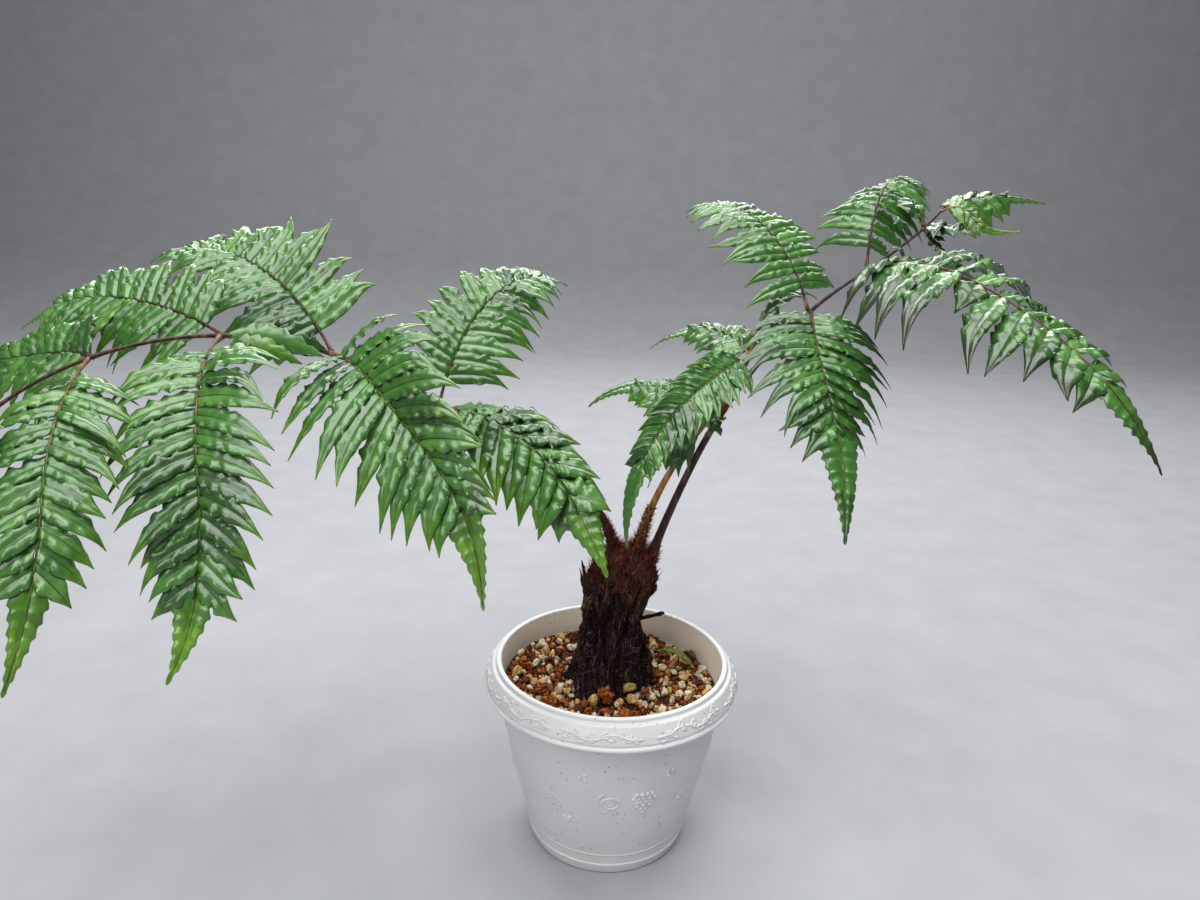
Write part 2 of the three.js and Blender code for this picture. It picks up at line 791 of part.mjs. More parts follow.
function buildPinnae(frond) {
  const stalk = stalkRoute(frond);
  for (const pinna of frond.pinnae) {
    const route = pinnaRoute(stalk, frond, pinna);
    const blade = pinnaBlade(route, pinna, clearOfStalks);
    addPart(`${frond.name}_pinna_${pinna.name}`, blade, FINISH.leaf);
  }
}

buildPot();
buildSoil();
buildTrunk();
FRONDS.forEach(buildStalk);
FRONDS.forEach(buildPinnae);

export default fern;
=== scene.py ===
"""A young tree fern in a white plastic pot: its looks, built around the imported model.

Lengths are metres and angles are degrees. +Z is up. A bearing is counted from +X towards
+Y, and a rise is counted from the horizontal. The fronds grow by the same rule and from the
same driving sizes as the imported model's, with finer leaflets.
"""

from functools import lru_cache

import bmesh
import bpy
import numpy as np
from mathutils import Matrix, Vector, noise


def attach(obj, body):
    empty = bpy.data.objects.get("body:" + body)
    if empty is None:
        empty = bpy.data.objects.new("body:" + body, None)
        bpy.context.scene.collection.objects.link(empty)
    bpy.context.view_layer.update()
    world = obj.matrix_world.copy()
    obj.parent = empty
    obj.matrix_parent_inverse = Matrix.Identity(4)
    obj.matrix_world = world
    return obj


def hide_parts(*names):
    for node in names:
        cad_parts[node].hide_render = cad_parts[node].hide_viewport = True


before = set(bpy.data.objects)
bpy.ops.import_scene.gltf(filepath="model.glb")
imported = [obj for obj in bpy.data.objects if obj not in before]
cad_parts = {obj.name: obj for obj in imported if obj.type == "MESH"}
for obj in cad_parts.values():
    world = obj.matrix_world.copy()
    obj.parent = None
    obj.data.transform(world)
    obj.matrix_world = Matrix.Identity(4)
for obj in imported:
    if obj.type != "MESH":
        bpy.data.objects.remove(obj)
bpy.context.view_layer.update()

UP = np.array([0.0, 0.0, 1.0])
BLACK, WHITE = (0, 0, 0), (1, 1, 1)

# The camera stands where the photograph was taken from: its place, its pitch downwards, its
# roll, and a lens that spans 1200 pixels at a focal length of 900

CAMERA = dict(place=(-0.017, -0.748, 0.596), pitch=16.25, roll=-1.82, focal=900, wide=1200,
              sensor=36, nearest=0.01)

# The softboxes, each with its place, what it faces, its two sides and its radiance, then the
# sky, and the floor, which bends up into a backdrop

LIGHTS = (
    ("top", (-0.1, -0.7, 2.6), (0, 0, 0.3), (2.6, 2.0), 4.6),
    ("back", (0.0, 1.9, 2.05), (0, 0, 0.45), (3.6, 1.0), 6.0),
    ("front", (-1.4, -2.3, 1.9), (0, 0, 0.2), (1.6, 1.4), 4.2),
    ("backdrop", (0.0, 2.0, 3.4), (0, 4.0, 1.2), (4.0, 0.8), 3.0),
)
SKY = dict(color=(1.0, 0.99, 0.97, 1), strength=0.09)
BACKDROP = dict(
    half=7.0, near=-4.0, bend_from=2.6, bend=1.4, top=6.0, steps=24, roughness=0.8,
    tone=dict(scale=12, Detail=3.0),
    stops=((0.3, (0.36, 0.37, 0.39)), (0.7, (0.40, 0.41, 0.43))),
)

# The kinds of surface. tone is the noise that the colour follows, dark, full and light from
# these heights on, grain is the noise of the relief where it isn't the same, and relief is its
# depth. The plastic has specks of dirt, which fade out between the distances that speck
# lists, and only where patches is above few.

SURFACES = dict(
    leaf=dict(
        roughness=0.36, tone=dict(scale=90, Detail=3.0, Roughness=0.55),
        heights=(0.34, 0.50, 0.66), dark=0.8, grain=dict(scale=700, Detail=2.0), relief=0.00015,
        sockets=dict(Specular_IOR_Level=0.75, Coat_Weight=0.55, Coat_Roughness=0.20),
    ),
    stalk=dict(
        roughness=0.42, tone=dict(scale=260, stretch=(1, 1, 0.3), Detail=3.0),
        heights=(0.38, 0.52, 0.70), dark=0.6, relief=0.0004,
        sockets=dict(Specular_IOR_Level=0.3),
    ),
    fibre=dict(
        roughness=0.85, tone=dict(scale=420, stretch=(1, 1, 0.12), Detail=4.0),
        heights=(0.35, 0.52, 0.72), dark=0.45, relief=0.0008,
        sockets=dict(Specular_IOR_Level=0.15),
    ),
    stone=dict(
        roughness=0.9, tone=dict(scale=330, Detail=4.0, Roughness=0.7),
        heights=(0.36, 0.50, 0.64), dark=0.38, grain=dict(scale=620, Detail=4.0), relief=0.0016,
        sockets=dict(Specular_IOR_Level=0.2),
    ),
    plastic=dict(
        roughness=0.36, tone=dict(scale=16, Detail=5.0, Roughness=0.6),
        heights=(0.35, 0.65), dark=0.93, grain=dict(scale=260, Detail=2.0), relief=0.00015,
        specks=dict(scale=190, kind="Voronoi"), speck=(0.08, 0.17),
        patches=dict(scale=55, Detail=2.0), few=(0.49, 0.57),
    ),
)

# The full and the light colour of each shade, or the colour of its dirt, and its roughness
# where this isn't the surface's own

COLORS = dict(
    leaf=dict(
        leaf_dark=((0.010, 0.035, 0.005), (0.024, 0.048, 0.008)),
        # The next shade is painted shade: the darker strip in the groove down the middle of each
        # leaflet
        leaf_vein=((0.016, 0.062, 0.008), (0.026, 0.090, 0.012)),
        leaf_deep=((0.022, 0.094, 0.008), (0.034, 0.128, 0.013)),
        leaf_mid=((0.048, 0.172, 0.019), (0.072, 0.220, 0.032)),
        leaf_light=((0.080, 0.230, 0.036), (0.118, 0.295, 0.056)),
        leaf_fresh=((0.060, 0.185, 0.007), (0.092, 0.245, 0.012)),
        leaf_lime=((0.100, 0.250, 0.007), (0.150, 0.330, 0.013)),
        leaf_young=((0.230, 0.370, 0.120), (0.330, 0.460, 0.190)),
    ),
    stalk=dict(
        rib_maroon=((0.045, 0.014, 0.014), (0.110, 0.040, 0.030)),
        rib_tan=((0.190, 0.105, 0.045), (0.300, 0.190, 0.090)),
        rib_brown=((0.095, 0.045, 0.028), (0.200, 0.110, 0.060)),
        rib_red=((0.130, 0.045, 0.025), (0.260, 0.120, 0.060)),
        rib_olive=((0.105, 0.125, 0.030), (0.230, 0.245, 0.075)),
        stalk_left=((0.055, 0.020, 0.012), (0.160, 0.065, 0.032)),
        stalk_middle=((0.270, 0.130, 0.030), (0.400, 0.230, 0.070)),
        stalk_right=((0.040, 0.017, 0.021), (0.115, 0.055, 0.060)),
    ),
    fibre=dict(
        fibre_dark=((0.014, 0.006, 0.010), (0.050, 0.028, 0.036)),
        fibre_brown=((0.065, 0.028, 0.023), (0.150, 0.078, 0.060)),
        fibre_pale=((0.190, 0.135, 0.120), (0.340, 0.260, 0.230)),
        bark_red=((0.110, 0.035, 0.016), (0.230, 0.095, 0.040)),
        bark_ochre=((0.190, 0.120, 0.035), (0.330, 0.230, 0.080)),
        fibre_red=((0.080, 0.024, 0.017), (0.170, 0.062, 0.042)),
        hair_red=((0.200, 0.046, 0.028), (0.360, 0.115, 0.065), 0.6),
    ),
    stone=dict(
        soil=((0.042, 0.014, 0.006), (0.090, 0.034, 0.015)),
        clay=((0.330, 0.085, 0.020), (0.560, 0.200, 0.055)),
        brown=((0.150, 0.045, 0.018), (0.310, 0.110, 0.045)),
        ochre=((0.640, 0.385, 0.150), (0.850, 0.610, 0.320)),
        pumice=((0.680, 0.560, 0.370), (0.880, 0.790, 0.590)),
        olive=((0.330, 0.240, 0.060), (0.520, 0.400, 0.140)),
        litter=((0.120, 0.140, 0.022), (0.270, 0.270, 0.060), 0.7),
        sheath=((0.150, 0.062, 0.018), (0.270, 0.130, 0.045), 0.6),
        curl=((0.085, 0.030, 0.015), (0.200, 0.085, 0.045), 0.7),
    ),
    plastic=dict(
        pot=((0.785, 0.795, 0.800), (0.160, 0.130, 0.095)),
        # The inside is the pot's own plastic with a cream stain, painted much brighter than the
        # outer wall: painted light that makes up for the shade inside the pot
        pot_inside=((0.960, 0.880, 0.770), (0.300, 0.200, 0.110)),
    ),
)

# The pot's profile, with the rolled bead of its skirt and the step under its lip as points of
# radius and height

POT = dict(
    height=0.181, wall=0.003, floor=0.004, bevel=0.0015, base=0.071, foot_height=0.022,
    foot=0.076, foot_edge=0.0008, ridge_height=0.011, ridge=0.001, wall_height=0.152,
    wall_radius=0.104, bulge=0.0025, skirt_height=0.157, skirt=0.117, bead=0.0024,
    groove_top=0.169, lip=0.1065, lip_inner=0.1015, lip_step=0.0003, inner_edge=0.0002,
    inside=(0.152, 0.130, 0.100, 0.052, 0.022, 0.007), rounding=0.0009, rings=16, segments=160,
    sharp=40,
)
BEAD = (
    (0.1165, 0.1557), (0.1176, 0.1568), (0.1179, 0.1580), (0.1174, 0.1592), (0.1164, 0.1599),
    (0.1157, 0.1608), (0.1162, 0.1622),
)
LIP_STEP = ((0.1088, 0.1769), (0.1072, 0.1772), (0.1066, 0.1778))

# The moulded ornament: the sprays of the vine round the rim, and the motifs of the wall with
# their bearings, heights and sizes, which repeat three times round it. In MOTIF and OVAL the
# radius is the wall's, each line is a radius in metres like uneven, the bow's ends are half
# turns, the winding is radians, and what else has a size is a share of the motif's.

VINE = dict(
    sprays=9, bearing=266, height=0.1685, radius=0.1145, half=0.034, rise=0.0024, waves=1.7,
    wobble=0.16, wobbles=17, fade=0.4, thick=0.0011, fine=0.8, shoots=11, reach=0.92, scroll=0.0028,
    narrowing=0.7, swing=3.4, leaf_long=(0.0026, 0.0036), leaf_wide=(0.0017, 0.0026),
    leaf_lean=(0.5, 1.3), leaf_flat=0.75, lobe=0.35, lobes=3,
)
MOTIFS = (
    ("oval", 271, 0.090, 0.0070), ("bunch", 289, 0.088, 0.0027), ("leaf", 256, 0.119, 0.0065),
    ("leaf", 303, 0.116, 0.0070), ("leaf", 315, 0.080, 0.0060), ("rosette", 234, 0.098, 0.0075),
    ("rosette", 238, 0.083, 0.0055), ("leaf", 246, 0.066, 0.0055),
)
MOTIF = dict(
    radius=0.09, sunk=0.35, loop=0.42, loop_out=0.55, loop_line=0.0012, lobe_thick=0.30,
    lobe_wide=0.62, leaf_sunk=0.10, stem=0.9, stem_line=0.0009, fruits=(4, 5, 4, 3, 2, 1),
    fruit_pitch=(1.75, 1.5), uneven=0.0004,
)
OVAL = dict(high=0.85, line=0.0014, scroll=0.6, narrowing=0.8, winding=9, scroll_line=0.0011,
            bow=(0.65, 1.4), bow_wide=1.6, bow_high=1.7, bow_line=0.0015)
LOBES = ((0, 0.62, 0.62), (1.25, 0.44, 0.46), (-1.25, 0.44, 0.46))

# The filling's surface, which is higher at one bearing and has a heap, the bed under it, and
# how the granules lie on it: how close, how proud, and which of them lie at the front right

SOIL = dict(
    middle=0.152, reach=0.0985, trunk=0.034, sunk=0.0015, rise=0.0045, highest=165, heap=0.006,
    heap_at=(0.018, -0.036), heap_wide=0.016, level_to=0.035, slope=0.05,
    bed=0.0015, hole=0.004, gap=0.001, wall=(0.140, 0.100, 0.052, 0.022, 0.0045), rings=26,
    columns=96, crowding=0.80, proud=(0.3, 1.1), settled=0.0012, front_right=315,
    front_share=0.35,
)

# The granules: how many are tried in each layer, their smallest and largest size, and whether
# they are coarse. The odds are those of clay, brown, ochre, pumice and olive, at the back and
# left and then at the front right for the coarse ones. Stones are placed one by one.

GRANULES = (
    (150, 0.0038, 0.0052, True), (520, 0.0027, 0.0038, True), (1500, 0.0016, 0.0027, False),
    (5200, 0.0008, 0.0016, False),
)
COARSE = ((0.26, 0.16, 0.32, 0.22, 0.04), (0.15, 0.12, 0.30, 0.39, 0.04))
FINE = (0.44, 0.38, 0.10, 0.07, 0.01)
STONES = (
    (-0.0050, -0.0400, 0.1630, 0.0080, "clay"), (0.0160, -0.0370, 0.1690, 0.0052, "olive"),
    (0.0170, -0.0440, 0.1620, 0.0050, "ochre"), (0.0300, -0.0300, 0.1610, 0.0050, "brown"),
    (0.0798, 0.0450, 0.1600, 0.0045, "olive"), (-0.0830, 0.0100, 0.1610, 0.0085, "clay"),
    (-0.0560, -0.0500, 0.1600, 0.0070, "clay"), (0.0120, -0.0620, 0.1570, 0.0070, "clay"),
)

# How one granule is shaped, from the size that each finer ball starts at, its chips and its
# lumps, as a frequency and the depths on a round and on a rough one, and how a lump of clay is
# put together from grains, few or many

GRAIN = dict(levels=(0.0013, 0.0025, 0.0056), stretch=(0.62, 1.18), chips=(4, 6),
             chip=(0.30, 0.72), chipped=0.92, lump=1.5, size=1.12)
LUMPS = ((2.6, 0.16, 0.16), (6.1, 0.12, 0.12), (13.0, 0.05, 0.10))
CRUMB = dict(least=0.0030, large=0.0055, core=0.80, grains=(9, 30), out=(0.62, 0.86),
             grain=(0.16, 0.36))

# The fallen leaf and the curls: the start, what the middle bends to, the end, the half width
# and how far the sides turn up. Their ends are blunt, their margins uneven and their faces
# crinkled.

LITTER = (
    ((0.0447, 0.0406, 0.1640), (0.0617, 0.0300, 0.1740), (0.0790, 0.0160, 0.1600), 0.0055, 0.5,
     "litter"),
    ((0.0690, 0.0390, 0.1600), (0.0740, 0.0330, 0.1740), (0.0830, 0.0210, 0.1620), 0.0026, 0.9,
     "curl"),
    ((0.0600, 0.0420, 0.1590), (0.0700, 0.0440, 0.1700), (0.0800, 0.0350, 0.1600), 0.0022, -0.9,
     "curl"),
)

WITHERED = dict(blunt=0.06, full=0.9, uneven=0.12, crinkle=0.0006, thick=0.0004)

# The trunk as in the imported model: its radii at these heights, its lean and its ridges

TRUNK = dict(
    foot=0.1523, height=0.132,
    up=(0, 0.006, 0.016, 0.032, 0.055, 0.080, 0.104, 0.118, 0.127, 0.132),
    radius=(0.042, 0.0385, 0.035, 0.0325, 0.030, 0.0285, 0.029, 0.027, 0.021, 0.012),
    lean_x=(-0.0015, -0.001, 0.0005, 0.0055, 0.009), lean_y=(0, 0.002, 0.004),
    ridges=7, ridge=0.055, ridge_twist=20, hollows=3, hollow=0.033, hollow_turn=40,
)

# The stubs of old stalks: the bearing, the height, the reach, how far they rise above it and
# the radius. Each is split into splinters.

STUBS = (
    (188, 0.094, 0.028, 0.026, 0.0060), (228, 0.092, 0.026, 0.008, 0.0065),
    (290, 0.100, 0.028, 0.015, 0.0060), (350, 0.098, 0.030, 0.015, 0.0065),
    (40, 0.100, 0.029, 0.024, 0.0060), (95, 0.102, 0.027, 0.020, 0.0065),
    (140, 0.098, 0.030, 0.023, 0.0060),
)
STUB = dict(splinters=9, sunk=0.022, inset=0.007, spread=11, lean=5, rise=(68, 84),
            lengths=(0.6, 1.0), radii=(0.25, 0.5), jitter=0.0003, tip=0.0003)
TWIG = dict(bearing=350, up=0.066, inner=0.018, outer=0.046, rise=0.010, bend=4,
            radii=(0.0021, 0.0019, 0.0022, 0.0017, 0.0020, 0.0016, 0.0017, 0.0023, 0.0010))

# The bark's relief, each part with how closely it repeats round the trunk and up it, its depth
# and its detail, and the flare of the roots at the trunk's foot

BARK = dict(rows=110, columns=180, fractal=(0.8, 2.1), flares=5, flare=0.003,
            flare_height=0.012, sways=55, fade=0.02, full_from=0.02, under=0.0004)
RELIEF = ((1.6, 28, 0.0052, 3), (6, 12, 0.0042, 3), (14, 190, 0.0018, 2))

# A dent at the foot, as its depth, bearing, width in degrees and height, the dents further up,
# with the height of their middles too, the clefts, as bearing, sway, width, depth, foot and
# top, and the knobs, as bearing, height, half width, half height and how far they stand out

FOOT_DENT = (0.007, 300, 38, 0.02)
DENTS = ((0.0055, -5, 45, 0.070, 0.022), (0.006, 200, 40, 0.006, 0.022))
CLEFTS = (
    (259, 7, 9.0, 0.0100, 0.008, 0.104), (236, -5, 6.0, 0.0055, 0.030, 0.112),
    (292, 6, 5.5, 0.0050, 0.040, 0.118), (325, -6, 6.5, 0.0060, 0.012, 0.080),
    (5, 5, 8.0, 0.0070, 0.030, 0.110), (52, 7, 8.0, 0.0080, 0.010, 0.100),
    (100, -6, 7.0, 0.0060, 0.035, 0.115), (150, 6, 8.5, 0.0085, 0.008, 0.095),
    (198, -5, 6.0, 0.0050, 0.030, 0.100),
)
KNOBS = (
    (268, 0.108, 7, 0.004, 0.0044), (250, 0.113, 6, 0.004, 0.0034), (285, 0.098, 7, 0.005, 0.0036),
    (338, 0.112, 9, 0.006, 0.0046), (318, 0.104, 8, 0.006, 0.0036), (352, 0.096, 9, 0.006, 0.0034),
    (212, 0.086, 8, 0.007, 0.0034), (305, 0.078, 8, 0.007, 0.0026), (20, 0.108, 9, 0.005, 0.0038),
    (75, 0.104, 8, 0.006, 0.0038), (125, 0.100, 9, 0.006, 0.0038), (170, 0.106, 8, 0.005, 0.0036),
)

# The bark's flecks, as high and as wide as so many faces, ragged, and brown or red above a
# share of the trunk's height and the more so the steeper the second value, the knobs that are
# red, from how far they stand out, and the ochre scar: its bearing and its height, each with
# its half size

FLECKS = dict(tall=4, wide=3, ragged=0.12, brown=(0.50, 1.5), red=(0.68, 1.6),
              knob=(0.0016, 0.0008), scar=(213, 9, 0.64, 0.09), scar_ragged=0.25)

# The root fibres, the rootlets and the hairs. A pair is the range that a value is drawn from,
# and stray is how far hairs bend away on the stalks, at the crown's side and on its top.

FIBRES = dict(
    count=2500, points=6, low=(-0.002, 0.114), span=(0.006, 0.030), ends=(0.0003, 0.129),
    jitter=0.0003, sway=5, curl=0.7, lift=(-0.0006, 0.0010), loose=(0.001, 0.004),
    loose_every=9, thick=(0.00016, 0.00050), taper=0.75, pale=0.05, brown=0.28, red=0.02,
    red_high=0.45, red_from=(0.5, 1.0),
)
ROOTLETS = dict(
    count=3500, points=5, middle=(0.002, 0.122), lean=45, reach=(0.004, 0.011),
    ends=(0.0003, 0.130), radius=0.03, sway=1.6, lift=(-0.0001, 0.0012),
    thick=(0.00012, 0.00030), taper=1.7, pale=0.20,
)
HAIRS = dict(
    per_metre=21000, gather=1.3, inset=0.9, stalk=(0.003, 0.009), side_count=1500,
    side_up=(0.100, 0.131), side=(0.004, 0.011), top_count=700, top=(0.003, 0.008), sunk=0.001,
    radii=(0.00034, 0.00028, 0.00018, 0.00004), red=0.78, lay=(0.9, 2.0), shortening=0.6,
    side_inset=0.97, side_out=(0.0, 0.5), stray=(0.2, 0.22, 0.35), bend=0.25,
)

# What a pinna has unless its row or its frond says otherwise. pitch is the spacing of its
# leaflets, first is the share of its length before them, and free is where its toothed tip
# blade starts. wide and long stretch the leaflets, stalked narrows their feet, tails is the
# strength of their drooping tails, limp lets those on its right hang from its foot on, taper
# shortens the outer ones, and lift raises those on its left and on its right. gaps lists the
# stunted leaflets, counted from its foot, with their side. broad widens the tip blade. rib,
# tips and tones name the shades. side, where it is given, is the bearing and the rise that its
# leaflets lie along.

USUAL = dict(
    pitch=0.0145, first=0.07, wide=1, long=1, stalked=False, tails=1, limp=0, taper=0,
    lift=(0, 0), gaps=(), broad=1, rib="rib_maroon", tips="light", tones="usual",
)
COLUMNS = ("name", "at", "length", "leaf", "roll", "fold", "slant", "bearing", "rise")


def pinnae(shared, *rows):
    """The sizes of a frond's pinnae: each row has the columns, and then what it says besides."""
    return [{**USUAL, **shared, **dict(zip(COLUMNS, row)), **row[-1]} for row in rows]


# The fronds. A stalk runs from its start over its length while its bearing and rise turn
# evenly through the listed values. It is hairy over the length called hair, and its outer part
# is thinned by slim. A pinna leaves it at a distance from its foot and has its own length, its
# longest leaflet, the roll of its upper face, and the fold and the slant of its leaflets.

FRONDS = (
    dict(
        name="left", start=(0.0005, 0.004, 0.2772), length=0.568,
        bearing=(208, 205, 216), rise=(79, 27, 40, 17, -12, -44),
        radius=(0.0034, 0.0015), swell=0.0024, bark="stalk_left", hair=0.045, slim=0.72,
        nodes=("left_stalk_1", "left_stalk_2", "left_stalk_3"),
        pinnae=pinnae(
            dict(free=0.78),
            ("back_1", 0.228, 0.235, 0.052, -33, 4, 66, (68, 59), (64, 20, -22),
             dict(free=0.8, wide=0.88, lift=(0.1, 0))),
            ("front_1", 0.230, 0.205, 0.056, 62, 12, 56, (-36, -36, -41), (6, -15, -46, -61),
             dict(free=0.72, rib="rib_olive", tips="lime", wide=1.3, broad=1.8)),
            ("back_2", 0.318, 0.265, 0.060, -39, 0, 76, (138, 149), (43, 10, -22),
             dict(pitch=0.016, wide=0.88, lift=(0, 0.35))),
            ("front_2", 0.320, 0.245, 0.068, 55, -16, 62, (-60, -27, -53), (11, -35, -50, -85),
             dict(free=0.7, rib="rib_olive", tips="lime", wide=1.06, broad=1.5)),
            ("back_3", 0.393, 0.260, 0.050, -49, 3, 64, (146, 155), (15, -3, -30),
             dict(wide=0.92, lift=(0, 0.18))),
            ("front_3", 0.395, 0.245, 0.0595, 28, -11, 71, (-89, -66, -141),
             (-13, -52, -75, -58), dict(free=0.76, pitch=0.013, rib="rib_tan", tips="lime")),
            ("back_4", 0.473, 0.245, 0.048, -40, 0, 62, (134, 156), (-5, -11, -16), {}),
            ("front_4", 0.476, 0.220, 0.046, 1, 3, 69, (-88, -75, -134), (-20, -45, -67, -66),
             dict(free=0.7, pitch=0.013, rib="rib_tan", tips="lime")),
            ("back_5", 0.536, 0.185, 0.044, -29, 5, 66, (150, 165), (-10, -25, -45), {}),
            ("front_5", 0.539, 0.180, 0.044, 16, 5, 66, (-84, -104), (-20, -52, -74),
             dict(free=0.74, rib="rib_tan", tips="lime")),
            ("end", 0.568, 0.190, 0.040, -2, 12, 62, (210, 205), (-38, -52, -66),
             dict(free=0.72, rib="rib_tan", tips="lime")),
        ),
    ),
    dict(
        name="middle", start=(0.0184, 0.0044, 0.2782), length=0.230,
        bearing=(-12, 6), rise=(81, 65, 52, 80),
        radius=(0.0036, 0.0014), swell=0.0026, bark="stalk_middle", hair=0.050, slim=1,
        nodes=("middle_stalk_1",),
        pinnae=pinnae(
            dict(free=0.62, rib="rib_olive"),
            ("back_1", 0.128, 0.160, 0.027, 38, 6, 65, (93, 177), (26, 5, -46),
             dict(wide=1.3, broad=3.4, long=1.3)),
            ("front_1", 0.132, 0.110, 0.028, 29, 8, 65, (-122, -110), (11, -12, -35),
             dict(free=0.6)),
            ("front_2", 0.206, 0.225, 0.030, 128, 13, 55, (-122, -138, -130),
             (0, -22, -51, -104), dict(free=0.7, pitch=0.011, side=(-30, 20))),
            ("back_2", 0.208, 0.150, 0.029, 48, 10, 68, (103, 146), (19, -3, -42),
             dict(wide=1.2, broad=3)),
            ("end", 0.230, 0.110, 0.028, 3, 15, 62, (60, 40), (50, 10, -30), dict(free=0.6)),
        ),
    ),
    dict(
        name="right", start=(0.0305, 0.0082, 0.2714), length=0.416,
        bearing=(0, -1, -8, 6, 46), rise=(73, 67, 55, 34, 32),
        radius=(0.0038, 0.0013), swell=0.0022, bark="stalk_right", hair=0.018, slim=0.72,
        nodes=("right_stalk_1", "right_stalk_2"),
        pinnae=pinnae(
            dict(free=0.6),
            ("back_1", 0.263, 0.235, 0.051, 43, 6, 78, (133, 101), (69, 13, -19),
             dict(free=0.78, wide=0.78)),
            ("front_1", 0.266, 0.200, 0.066, -45, 5, 76, (-95, -65, -103), (-31, -62, -55),
             dict(free=0.55, pitch=0.0105, first=0.01, rib="rib_brown", tips="deep", wide=1.28,
                  broad=2.6)),
            ("back_2", 0.320, 0.210, 0.050, 31, 32, 72, (73, 47), (70, 14, -25),
             dict(free=0.78, wide=0.66)),
            ("front_2", 0.330, 0.284, 0.072, -31, 7, 84, (-66, -23), (13, -19, -38, -63),
             dict(free=0.74, pitch=0.021, rib="rib_red", tips="dark", gaps=((4, -1),),
                  wide=0.94, stalked=True, tails=2, limp=0.45, first=0.02, taper=0.32)),
            ("back_3", 0.384, 0.050, 0.024, 40, 10, 66, (110, 80), (58, 24, -10), {}),
            ("front_3", 0.380, 0.046, 0.025, -30, 6, 60, (-48, -30), (24, -6, -36),
             dict(tips="dark", tones="dark")),
            ("front_4", 0.406, 0.074, 0.016, 12, 8, 58, (-12, 10), (36, -52, -8, 10),
             dict(free=0.5, pitch=0.008, rib="rib_olive", tips="young", tones="young")),
            ("end", 0.416, 0.112, 0.030, 30, 30, 64, (32, 10), (18, 2, -12),
             dict(rib="rib_olive")),
        ),
    ),
)

# Small leaves and brown curls that hang from a stalk one by one: the frond, the distance from
# its foot, the middle and the end, the half width and the shade

SINGLES = (
    ("left", 0.392, (-0.2475, -0.1270, 0.4893), (-0.2162, -0.1140, 0.4738), 0.0095, "leaf_mid"),
    ("left", 0.386, (-0.2523, -0.1340, 0.4840), (-0.2281, -0.1260, 0.4707), 0.0080, "leaf_fresh"),
    ("left", 0.322, (-0.2276, -0.1120, 0.4847), (-0.2389, -0.1200, 0.4877), 0.0055, "leaf_deep"),
    ("right", 0.388, (0.2532, 0.0120, 0.5750), (0.2637, 0.0080, 0.5716), 0.0052, "leaf_dark"),
    ("right", 0.384, (0.2521, 0.0100, 0.5664), (0.2585, 0.0060, 0.5628), 0.0030, "leaf_deep"),
    ("right", 0.383, (0.2513, 0.0080, 0.5609), (0.2589, 0.0040, 0.5549), 0.0034, "leaf_dark"),
    ("right", 0.354, (0.2187, -0.0040, 0.5566), (0.2221, -0.0060, 0.5497), 0.0056, "leaf_dark"),
    ("right", 0.370, (0.2235, 0.0080, 0.5743), (0.2146, 0.0060, 0.5749), 0.0050, "leaf_deep"),
    ("right", 0.392, (0.2602, 0.0080, 0.5730), (0.2657, 0.0080, 0.5690), 0.0030, "curl"),
    ("middle", 0.172, (0.0870, -0.0150, 0.4246), (0.0824, -0.0150, 0.4120), 0.0052, "sheath"),
    ("middle", 0.160, (0.0767, -0.0120, 0.4213), (0.0755, -0.0140, 0.4095), 0.0046, "leaf_deep"),
    ("middle", 0.146, (0.0799, -0.0140, 0.4081), (0.0848, -0.0140, 0.3977), 0.0050, "leaf_deep"),
    ("middle", 0.146, (0.0759, -0.0140, 0.4044), (0.0740, -0.0130, 0.3954), 0.0036, "leaf_deep"),
    ("middle", 0.150, (0.0828, -0.0140, 0.4142), (0.0880, -0.0140, 0.4127), 0.0036, "leaf_mid"),
    ("middle", 0.150, (0.0703, -0.0120, 0.4159), (0.0695, -0.0120, 0.4020), 0.0044, "leaf_fresh"),
)
SINGLE = dict(
    outline_at=(0, 0.25, 0.5, 0.8, 1), outline=(0.12, 0.7, 1.0, 0.62, 0.03), thick=0.0003,
    facing=(0.1, -1.0, 0.4), rolled=1.6, flat=0.5, margin=0.12, swing=1.2, ripple=0.6,
)

# Sizes that all pinnae share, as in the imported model, those of the finer leaflets, the waves
# of their margins and the toothed blade at a pinna's tip, and then ribs and stalks. A size of
# a leaflet across is a share of its half width, and one along it is a share of its length.

PINNA = dict(
    slant_turn=15, least_slant=52, arch=0.05, sag=0.18, root=0.0003, longest_at=0.25,
    first_short=0.22, last_short=0.85, shortening=1.5, leaf_shares=0.8, gap=0.0003,
    rib_half=0.0015, end_inset=0.001, neck=0.003, widening=0.014, blade_share=0.165,
    tip_half=0.0008,
)
LEAFLET = dict(
    row=0.0018, rows=(13, 31), fine_from=0.028, steps=(0.06, 0.25, 0.50, 0.76, 1.0),
    # The painted shade in the groove down a leaflet's middle runs up to a share of its length
    few_steps=(0.07, 0.34, 0.68, 1.0), vein=0.9, ragged=(0.05, 0.035), uneven=(0.94, 1.04),
    stunted=0.36, outline_at=(0, 0.05, 0.18, 0.38, 0.54, 0.68, 0.80, 0.90, 1.0),
    outline=(1.00, 1.12, 1.22, 1.24, 1.14, 0.90, 0.55, 0.26, 0.03),
    stalked_at=(0, 0.14, 0.34), stalked=(0.55, 0.86, 1.0), thick=0.00032, lie=0.3,
    ease=(0.08, 0.3), margin=0.10, bulge=0.13, groove=0.12, groove_half=0.14, camber=0.10,
    twist=0.20, shingle=12, slant_spread=2.5, turn_spread=5.0, sweep=0.05, sweep_spread=0.02,
    tail_from=0.60, tail_drop=0.11, drops=(0.2, 1.6), tail_curl=0.07, curls=(0.2, 1.0),
    limp_to=0.6, limp_short=0.7, limp_wide=1.4, taper_from=0.55,
)
RUFFLE = dict(band=0.0100, spread=(0.8, 1.2), lag=0.12, swell=(0.75, 0.45), slow=0.37,
              second=(0.35, 1.7), ripple=0.24, pleat=0.05, pleats=1.5)
